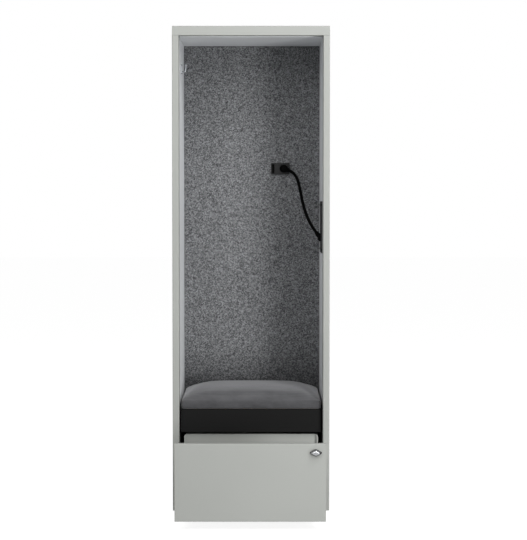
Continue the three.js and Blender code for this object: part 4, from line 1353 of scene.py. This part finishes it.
@dataclass(frozen=True)
class Boot:
    """Tapered sleeve that holds one end of the lead, with ribs round its thinner part."""

    name: str
    middle: Point
    unturned: Point
    swing: float
    swing_axis: str
    tilt: float
    length: float
    root: float
    tip: float
    start: float
    waist: float
    rib_start: float
    rib_count: int
    rib_end: float = 0.95
    rib_sunk: float = 0.6
    bead: float = 0.0008
    rim: float = 0.0008
    rim_share: float = 0.9
    sides: int = 32

    def way(self) -> Vector:
        """Gives the direction in which the lead leaves the sleeve."""
        swing = Matrix.Rotation(self.swing, 3, self.swing_axis)
        return swing @ Matrix.Rotation(self.tilt, 3, "Y") @ Vector(self.unturned)

    def mouth(self, gap: float) -> Vector:
        """Gives the place where the lead begins, a gap away from the sleeve."""
        return Vector(self.middle) + self.way() * (self.length + gap)

    def add_sleeve(self, shape: bmesh.types.BMesh) -> None:
        """Adds the sleeve.

        Args:
            shape: The bmesh that takes it.
        """
        profile = [(self.root, self.start), (self.root, self.length * self.waist)]
        profile += [(self.tip, self.length - self.rim), (self.tip * self.rim_share, self.length)]
        turned(shape, profile, Vector(self.middle), self.way(), self.sides)

    def make_ribs(self, workshop: Workshop, ribs: RibTree) -> bpy.types.Object:
        """Sets the strain-relief ribs.

        Args:
            workshop: The workshop.
            ribs: The tree that makes them.

        Returns:
            The piece.
        """
        slope = (self.root - self.tip) * self.rib_sunk
        reach = self.way() * self.length
        mesh = bpy.data.meshes.new(self.name)
        ends = [Vector(self.middle) + reach * share for share in (self.rib_start, self.rib_end)]
        mesh.from_pydata(ends, [(0, 1)], [])
        piece = workshop.piece(self.name, mesh, smooth=None)
        values = {
            "Count": self.rib_count,
            "Root": self.root - slope * self.rib_sunk,
            "Tip": self.tip,
            "Bead": self.bead,
            "Material": workshop.materials[Slot.RUBBER],
        }
        run_tree(piece, ribs.tree, values).shade_smooth()
        return workshop.fit(piece, Slot.RUBBER, Body.CARCASS)


PLUG_BOOT = Boot(
    name="plug_boot_ribs", middle=(0.13055, 0.1747, 1.318), unturned=(1.0, 0.0, 0.0),
    swing=-0.47, swing_axis="Z", tilt=0.34, length=0.026, root=0.0085, tip=0.007,
    start=0.0, waist=0.45, rib_start=0.66, rib_count=4)
GLAND_BOOT = Boot(
    name="gland_ribs", middle=(0.2717, -0.06, 1.041), unturned=(0.0, 0.0, 1.0),
    swing=-0.5, swing_axis="X", tilt=-0.59, length=0.030, root=0.0095, tip=0.0075,
    start=0.009, waist=0.5, rib_start=0.56, rib_count=5)


@dataclass
class PowerLead:
    """Plug in the outlet, gland on the wall plate, and the lead between them."""

    plug_boot: Boot = PLUG_BOOT
    plug_radius: float = 0.016
    plug_nose: float = 0.1647
    plug_rear: float = 0.2014
    plug_grip: tuple[Span, ...] = (
        (0.55, 0.0), (0.70, 0.0003), (0.80, 0.001), (0.88, 0.0024),
        (0.93, 0.0045), (0.93, 0.0125), (0.95, 0.0145), (1.0, 0.0165),
    )
    plug_rim: float = 0.001
    plug_rim_share: float = 0.94
    pin_radius: float = 0.0024
    pin_spacing: float = 0.019
    pin_length: float = 0.018
    pin_end: float = 0.0199
    pin_end_share: float = 0.6
    pin_root: float = 0.002
    pin_sides: int = 20
    gland_boot: Boot = GLAND_BOOT
    gland_ball: float = 0.013
    gland_steps: int = 12
    lead: float = 0.012
    from_plug: float = 0.073
    from_gland: float = 0.143
    seam: float = 0.0003
    points: int = 36

    def route(self) -> list[Vector]:
        """Gives the lead's path.

        Returns:
            Points from the plug's boot to the gland.
        """
        start, end = self.plug_boot.mouth(self.seam), self.gland_boot.mouth(self.seam)
        near = start + self.plug_boot.way() * self.from_plug
        far = end + self.gland_boot.way() * self.from_gland
        path = []
        for index in range(self.points):
            t = index / (self.points - 1)
            s = 1 - t
            path.append(s ** 3 * start + 3 * s * s * t * near + 3 * s * t * t * far + t ** 3 * end)
        return path

    def make_lead(self, workshop: Workshop) -> bpy.types.Object:
        """Builds the lead as one open curve.

        Args:
            workshop: The workshop.

        Returns:
            The piece.
        """
        path = self.route()
        curve = bpy.data.curves.new("black_lead", "CURVE")
        curve.dimensions = "3D"
        curve.bevel_depth = self.lead / 2
        curve.bevel_resolution = 5
        curve.use_fill_caps = True
        line = curve.splines.new("POLY")
        line.points.add(len(path) - 1)
        for point, place in zip(line.points, path):
            point.co = (*place, 1.0)
        piece = add_object("black_lead", curve)
        workshop.fit(piece, Slot.RUBBER, Body.CARCASS, "power_lead")
        return piece

    def make_plug(self, workshop: Workshop) -> bpy.types.Object:
        """Builds the plug: a turned body with a grip waist, two pins and a boot to the side.

        Args:
            workshop: The workshop.

        Returns:
            The piece.
        """
        shape = bmesh.new()
        length, radius = self.plug_rear - self.plug_nose, self.plug_radius
        profile = [(radius * share, height) for share, height in self.plug_grip]
        profile += [(radius, length - self.plug_rim), (radius * self.plug_rim_share, length)]
        x, _, z = self.plug_boot.middle
        inward = Vector((0, 1, 0))
        turned(shape, profile, Vector((x, self.plug_nose, z)), inward)
        pin = [(self.pin_radius, 0.0), (self.pin_radius, self.pin_length)]
        pin.append((self.pin_radius * self.pin_end_share, self.pin_end))
        for side in (-0.5, 0.5):
            foot = Vector((x, self.plug_rear - self.pin_root, z + side * self.pin_spacing))
            turned(shape, pin, foot, inward, self.pin_sides)
        self.plug_boot.add_sleeve(shape)
        piece = workshop.piece("angled_plug", mesh_from("angled_plug", shape))
        return workshop.fit(piece, Slot.RUBBER, Body.CARCASS, "power_plug")

    def make_gland(self, workshop: Workshop) -> bpy.types.Object:
        """Builds the gland: a half ball on the plate and a slanting sleeve.

        Args:
            workshop: The workshop.

        Returns:
            The piece.
        """
        shape = bmesh.new()
        foot = Vector(self.gland_boot.middle) - Vector((self.seam, 0, 0))
        angles = [math.pi / 2 * step / self.gland_steps for step in range(self.gland_steps)]
        height = self.gland_ball - self.seam
        dome = [(self.gland_ball * math.cos(a), height * math.sin(a)) for a in angles]
        turned(shape, dome, foot, Vector((-1, 0, 0)))
        self.gland_boot.add_sleeve(shape)
        piece = workshop.piece("wall_gland", mesh_from("wall_gland", shape))
        return workshop.fit(piece, Slot.RUBBER, Body.CARCASS, "lead_gland")

    def make(self, workshop: Workshop, ribs: RibTree) -> None:
        """Builds plug, gland, ribs and lead.

        Args:
            workshop: The workshop.
            ribs: The tree for the boots' ribs.
        """
        ends = [self.make_plug(workshop), self.make_gland(workshop)]
        ends += [boot.make_ribs(workshop, ribs) for boot in (self.plug_boot, self.gland_boot)]
        self.make_lead(workshop)


@dataclass
class CoatHook:
    """Small wall hook: an oval plate, a rod that turns up and a ball on its end."""

    wall_x: float = -0.2747
    middle_y: float = -0.032
    middle_z: float = 1.703
    plate: float = 0.003
    half_width: float = 0.010
    half_height: float = 0.019
    corner: float = 0.009
    rod: float = 0.0035
    reach: float = 0.018
    depth: float = 0.011
    rise: float = 0.016
    tip: float = 0.0045
    sunk: float = 0.0003
    bevel: tuple[Span, ...] = ((0.003, 0.0), (0.0008, 0.0), (0.0002, 0.0003), (0.0, 0.0009))
    ball_sides: tuple[int, int] = (32, 18)
    bend_steps: int = 10

    def make(self, workshop: Workshop) -> bpy.types.Object:
        """Builds the hook.

        Args:
            workshop: The workshop.

        Returns:
            The piece.
        """
        shape = bmesh.new()
        face = self.wall_x + self.plate
        loops = []
        for back, inset in self.bevel:
            half_width, half_height = self.half_width - inset, self.half_height - inset
            outline = rounded_rectangle(half_width, half_height, self.corner - inset)
            loops.append([Vector((face - back, self.middle_y + a, self.middle_z + b)) for a, b in outline])
        rings(shape, loops)
        end = Vector((self.wall_x - self.sunk + self.reach, self.middle_y, self.middle_z + self.rise))
        low = self.middle_z - self.depth
        corners = [
            Vector((face - self.plate / 2, self.middle_y, low)),
            Vector((face + self.reach / 3, self.middle_y, low)),
            Vector((end.x - self.reach / 9, self.middle_y, low + self.depth / 2)),
            end,
        ]
        swept(shape, smooth_path(corners, self.bend_steps), self.rod)
        round_it, over_it = self.ball_sides
        ball = bmesh.ops.create_uvsphere(shape, u_segments=round_it, v_segments=over_it, radius=self.tip)
        bmesh.ops.translate(shape, verts=ball["verts"], vec=end)
        bmesh.ops.recalc_face_normals(shape, faces=shape.faces[:])
        piece = workshop.piece("wall_hook", mesh_from("wall_hook", shape))
        return workshop.fit(piece, Slot.ZINC_STEEL, Body.CARCASS, "coat_hook")


@dataclass
class LockKnob:
    """Domed diamond-shaped knob that turns the drawer's lock."""

    middle: Point = (0.236, -0.6531, 0.283)
    length: float = 0.044
    height: float = 0.0265
    depth: float = 0.017
    neck: float = 0.003
    roundness: float = 1.3
    foot: float = 0.82
    dot: float = 0.0066
    dot_x: float = 0.0164
    gap: float = 0.0003
    shoulder: Span = (0.985, 0.8)
    steps: int = 20
    sharp: float = 40.0

    def ring(self, scale: float, out: float, count: int = 96) -> list[Vector]:
        """Gives one ring of the rounded diamond.

        Args:
            scale: Share of the full size.
            out: How far the ring stands out from the knob's back.
            count: Points round it.

        Returns:
            The ring's points.
        """
        points = []
        power = 2 / self.roundness
        for angle in round_angles(count):
            across, up = math.cos(angle), math.sin(angle)
            x = math.copysign(abs(across) ** power, across) * scale * self.length / 2
            z = math.copysign(abs(up) ** power, up) * scale * self.height / 2
            points.append(Vector(self.middle) + Vector((x, -out, z)))
        return points

    def make(self, workshop: Workshop) -> bpy.types.Object:
        """Builds the knob.

        Args:
            workshop: The workshop.

        Returns:
            The piece.
        """
        size, height = self.shoulder
        loops = [self.ring(self.foot, 0.0), self.ring(size, self.neck * height), self.ring(1.0, self.neck)]
        for step in range(1, self.steps):
            angle = math.pi / 2 * step / self.steps
            loops.append(self.ring(math.cos(angle), self.neck + (self.depth - self.neck) * math.sin(angle)))
        shape = bmesh.new()
        rings(shape, loops)
        bmesh.ops.recalc_face_normals(shape, faces=shape.faces[:])
        piece = workshop.piece("diamond_knob", mesh_from("diamond_knob", shape))
        bore = bmesh.new()
        radius = self.dot / 2 + self.gap
        foot = Vector(self.middle) + Vector((self.dot_x, -self.neck, 0))
        turned(bore, [(radius, 0.0), (radius, self.depth)], foot, Vector((0, -1, 0)))
        carve(piece, bore)
        soften_edges(piece.data, self.sharp)
        return workshop.fit(piece, Slot.CHROME, Body.LOCK, "lock_knob")


@dataclass
class Hardware:
    """Screws, rivets and weld marks."""

    plate_x: float = 0.2717
    plate_middle: tuple[float, float] = (-0.068, 1.085)
    plate_inset: float = 0.086
    hook_face: float = -0.2717
    hook_y: float = -0.032
    hook_heights: tuple[float, float] = (1.7035, 1.7155)
    side_face: float = 0.2558
    slide_height: float = 0.150
    slide_screws: tuple[float, float, float] = (-0.596, -0.436, -0.276)
    rear_y: float = 0.2493
    rear_edge: float = 0.2625
    rear_first: float = 0.09
    rear_pitch: float = 0.155
    rear_count: int = 11
    weld_y: float = -0.2082
    weld_edge: float = 0.247
    weld_heights: tuple[float, float, float] = (0.085, 0.165, 0.245)

    def rows(self) -> list[FastenerRow]:
        """Lists the rows of heads.

        Returns:
            The rows.
        """
        sides = (-1, 1)
        middle_y, middle_z = self.plate_middle
        corners = [(a * self.plate_inset, b * self.plate_inset) for a in sides for b in sides]
        plate = tuple(((self.plate_x, middle_y + a, middle_z + b), (-1, 0, 0)) for a, b in corners)
        hook = tuple(((self.hook_face, self.hook_y, z), (1, 0, 0)) for z in self.hook_heights)
        slides = tuple(
            ((side * self.side_face, y, self.slide_height), (-side, 0, 0))
            for side in sides for y in self.slide_screws)
        heights = [self.rear_first + index * self.rear_pitch for index in range(self.rear_count)]
        rear = tuple(((side * self.rear_edge, self.rear_y, z), (0, 1, 0)) for side in sides for z in heights)
        welds = tuple(
            ((side * self.weld_edge, self.weld_y, z), (0, 1, 0))
            for side in sides for z in self.weld_heights)
        return [
            FastenerRow("plate_screws", Body.CARCASS, Slot.BLACK_STEEL, 0.008, 0.0018, 0.45, plate),
            FastenerRow("hook_screws", Body.CARCASS, Slot.ZINC_STEEL, 0.0062, 0.0006, 0.5, hook),
            FastenerRow("slide_screws", Body.DRAWER, Slot.ZINC_STEEL, 0.0085, 0.0018, 0.45, slides),
            FastenerRow("rear_rivets", Body.CARCASS, Slot.GREY_STEEL, 0.0075, 0.0009, 0.38, rear),
            FastenerRow("back_welds", Body.DRAWER, Slot.GREY_STEEL, 0.006, 0.0003, 0.75, welds),
        ]

    def make(self, workshop: Workshop) -> None:
        """Sets every row.

        Args:
            workshop: The workshop.
        """
        heads = FastenerTree()
        for row in self.rows():
            row.make(workshop, heads)


@dataclass(frozen=True)
class Lamp:
    """One square soft lamp: its name, place, side length and power in watts."""

    name: str
    place: Point
    size: float
    power: float


@dataclass
class Studio:
    """Camera, pale floor and soft lamps."""

    lens: float = 111.83
    eye: Point = (0.0476, -6.6404, 1.1771)
    pitch: float = 2.274
    ambient: float = 0.26
    floor_white: float = 0.86
    floor_tone: float = 0.5
    floor_half: float = 30.0
    sensor: float = 36.0
    farthest: float = 60.0
    aim: Point = (0.0, 0.0, 0.9)
    lamps: tuple[Lamp, ...] = (
        Lamp("high_lamp", (1.2, -2.2, 3.4), 1.0, 42.0),
        Lamp("side_lamp", (2.0, -3.4, 2.6), 0.9, 34.0),
        Lamp("low_lamp", (2.0, -3.4, 0.3), 0.9, 57.0),
        Lamp("fill_lamp", (-1.6, -3.5, 3.0), 2.0, 41.0),
    )

    def make_camera(self) -> None:
        """Sets the camera where the photograph was taken from."""
        lens = bpy.data.cameras.new("front_camera")
        lens.sensor_fit = "VERTICAL"
        lens.sensor_height = self.sensor
        lens.lens = self.lens
        lens.clip_end = self.farthest
        camera = add_object("front_camera", lens)
        camera.location = self.eye
        camera.rotation_euler = Euler((math.radians(90 - self.pitch), 0, 0))
        bpy.context.scene.camera = camera

    @staticmethod
    def shown_rays(graph: Graph) -> bpy.types.NodeSocket:
        """Picks the rays that show the background: direct, mirrored and seen through.

        Args:
            graph: The graph that takes the nodes.

        Returns:
            1 for such a ray, 0 for others.
        """
        path = graph.add("ShaderNodeLightPath")
        direct = graph.math("MAXIMUM", path.outputs["Is Camera Ray"], path.outputs["Is Glossy Ray"])
        return graph.math("MAXIMUM", direct, path.outputs["Is Transmission Ray"])

    def make_world(self) -> None:
        """Gives an even soft light and a white background."""
        world = bpy.data.worlds.new("soft_room")
        world.use_nodes = True
        bpy.context.scene.world = world
        graph = Graph(world.node_tree)
        graph.tree.nodes.clear()
        soft, white = (
            graph.add("ShaderNodeBackground", {"Color": WHITE, "Strength": strength}).outputs[0]
            for strength in (self.ambient, 1.0))
        both = graph.add("ShaderNodeMixShader", {0: self.shown_rays(graph), 1: soft, 2: white})
        graph.add("ShaderNodeOutputWorld", {"Surface": both.outputs[0]})

    def make_floor(self) -> None:
        """Lays a pale floor that keeps a faint shadow."""
        mesh = bpy.data.meshes.new("pale_floor")
        far = self.floor_half
        mesh.from_pydata([(-far, -far, 0), (far, -far, 0), (far, far, 0), (-far, far, 0)], [], [(0, 1, 2, 3)])
        floor = add_object("pale_floor", mesh)
        material = bpy.data.materials.new("pale_floor")
        material.use_nodes = True
        graph = Graph(material.node_tree)
        graph.tree.nodes.clear()
        tone = self.floor_tone
        matt = graph.add("ShaderNodeBsdfDiffuse", {"Color": (tone, tone, tone, 1)})
        share = graph.math("MULTIPLY", self.shown_rays(graph), self.floor_white)
        white = graph.add("ShaderNodeEmission", {"Color": WHITE, "Strength": share})
        both = graph.add("ShaderNodeAddShader", {0: matt.outputs[0], 1: white.outputs[0]})
        graph.add("ShaderNodeOutputMaterial", {"Surface": both.outputs[0]})
        mesh.materials.append(material)

    def make_lamp(self, given: Lamp) -> None:
        """Hangs one lamp that looks at the niche.

        Args:
            given: The lamp.
        """
        lamp = bpy.data.lights.new(given.name, "AREA")
        lamp.shape = "SQUARE"
        lamp.size = given.size
        lamp.energy = given.power
        holder = add_object(given.name, lamp)
        holder.location = given.place
        way = Vector(self.aim) - Vector(given.place)
        holder.rotation_euler = way.to_track_quat("-Z", "Y").to_euler()

    def make(self) -> None:
        """Sets up the whole studio."""
        bpy.context.scene.view_settings.view_transform = "Standard"
        self.make_camera()
        self.make_world()
        self.make_floor()
        for lamp in self.lamps:
            self.make_lamp(lamp)


def main() -> None:
    """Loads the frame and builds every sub-assembly."""
    logging.basicConfig(level=logging.INFO, format="%(name)s: %(message)s")
    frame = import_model()
    Studio().make()
    workshop = Workshop()
    workshop.dress(frame)
    PowerLead().make(workshop, RibTree())
    FeltBack().make(workshop)
    SeatCushion().make(workshop)
    CoatHook().make(workshop)
    LockKnob().make(workshop)
    Hardware().make(workshop)
    bpy.context.view_layer.update()


if __name__ == "__main__":
    main()
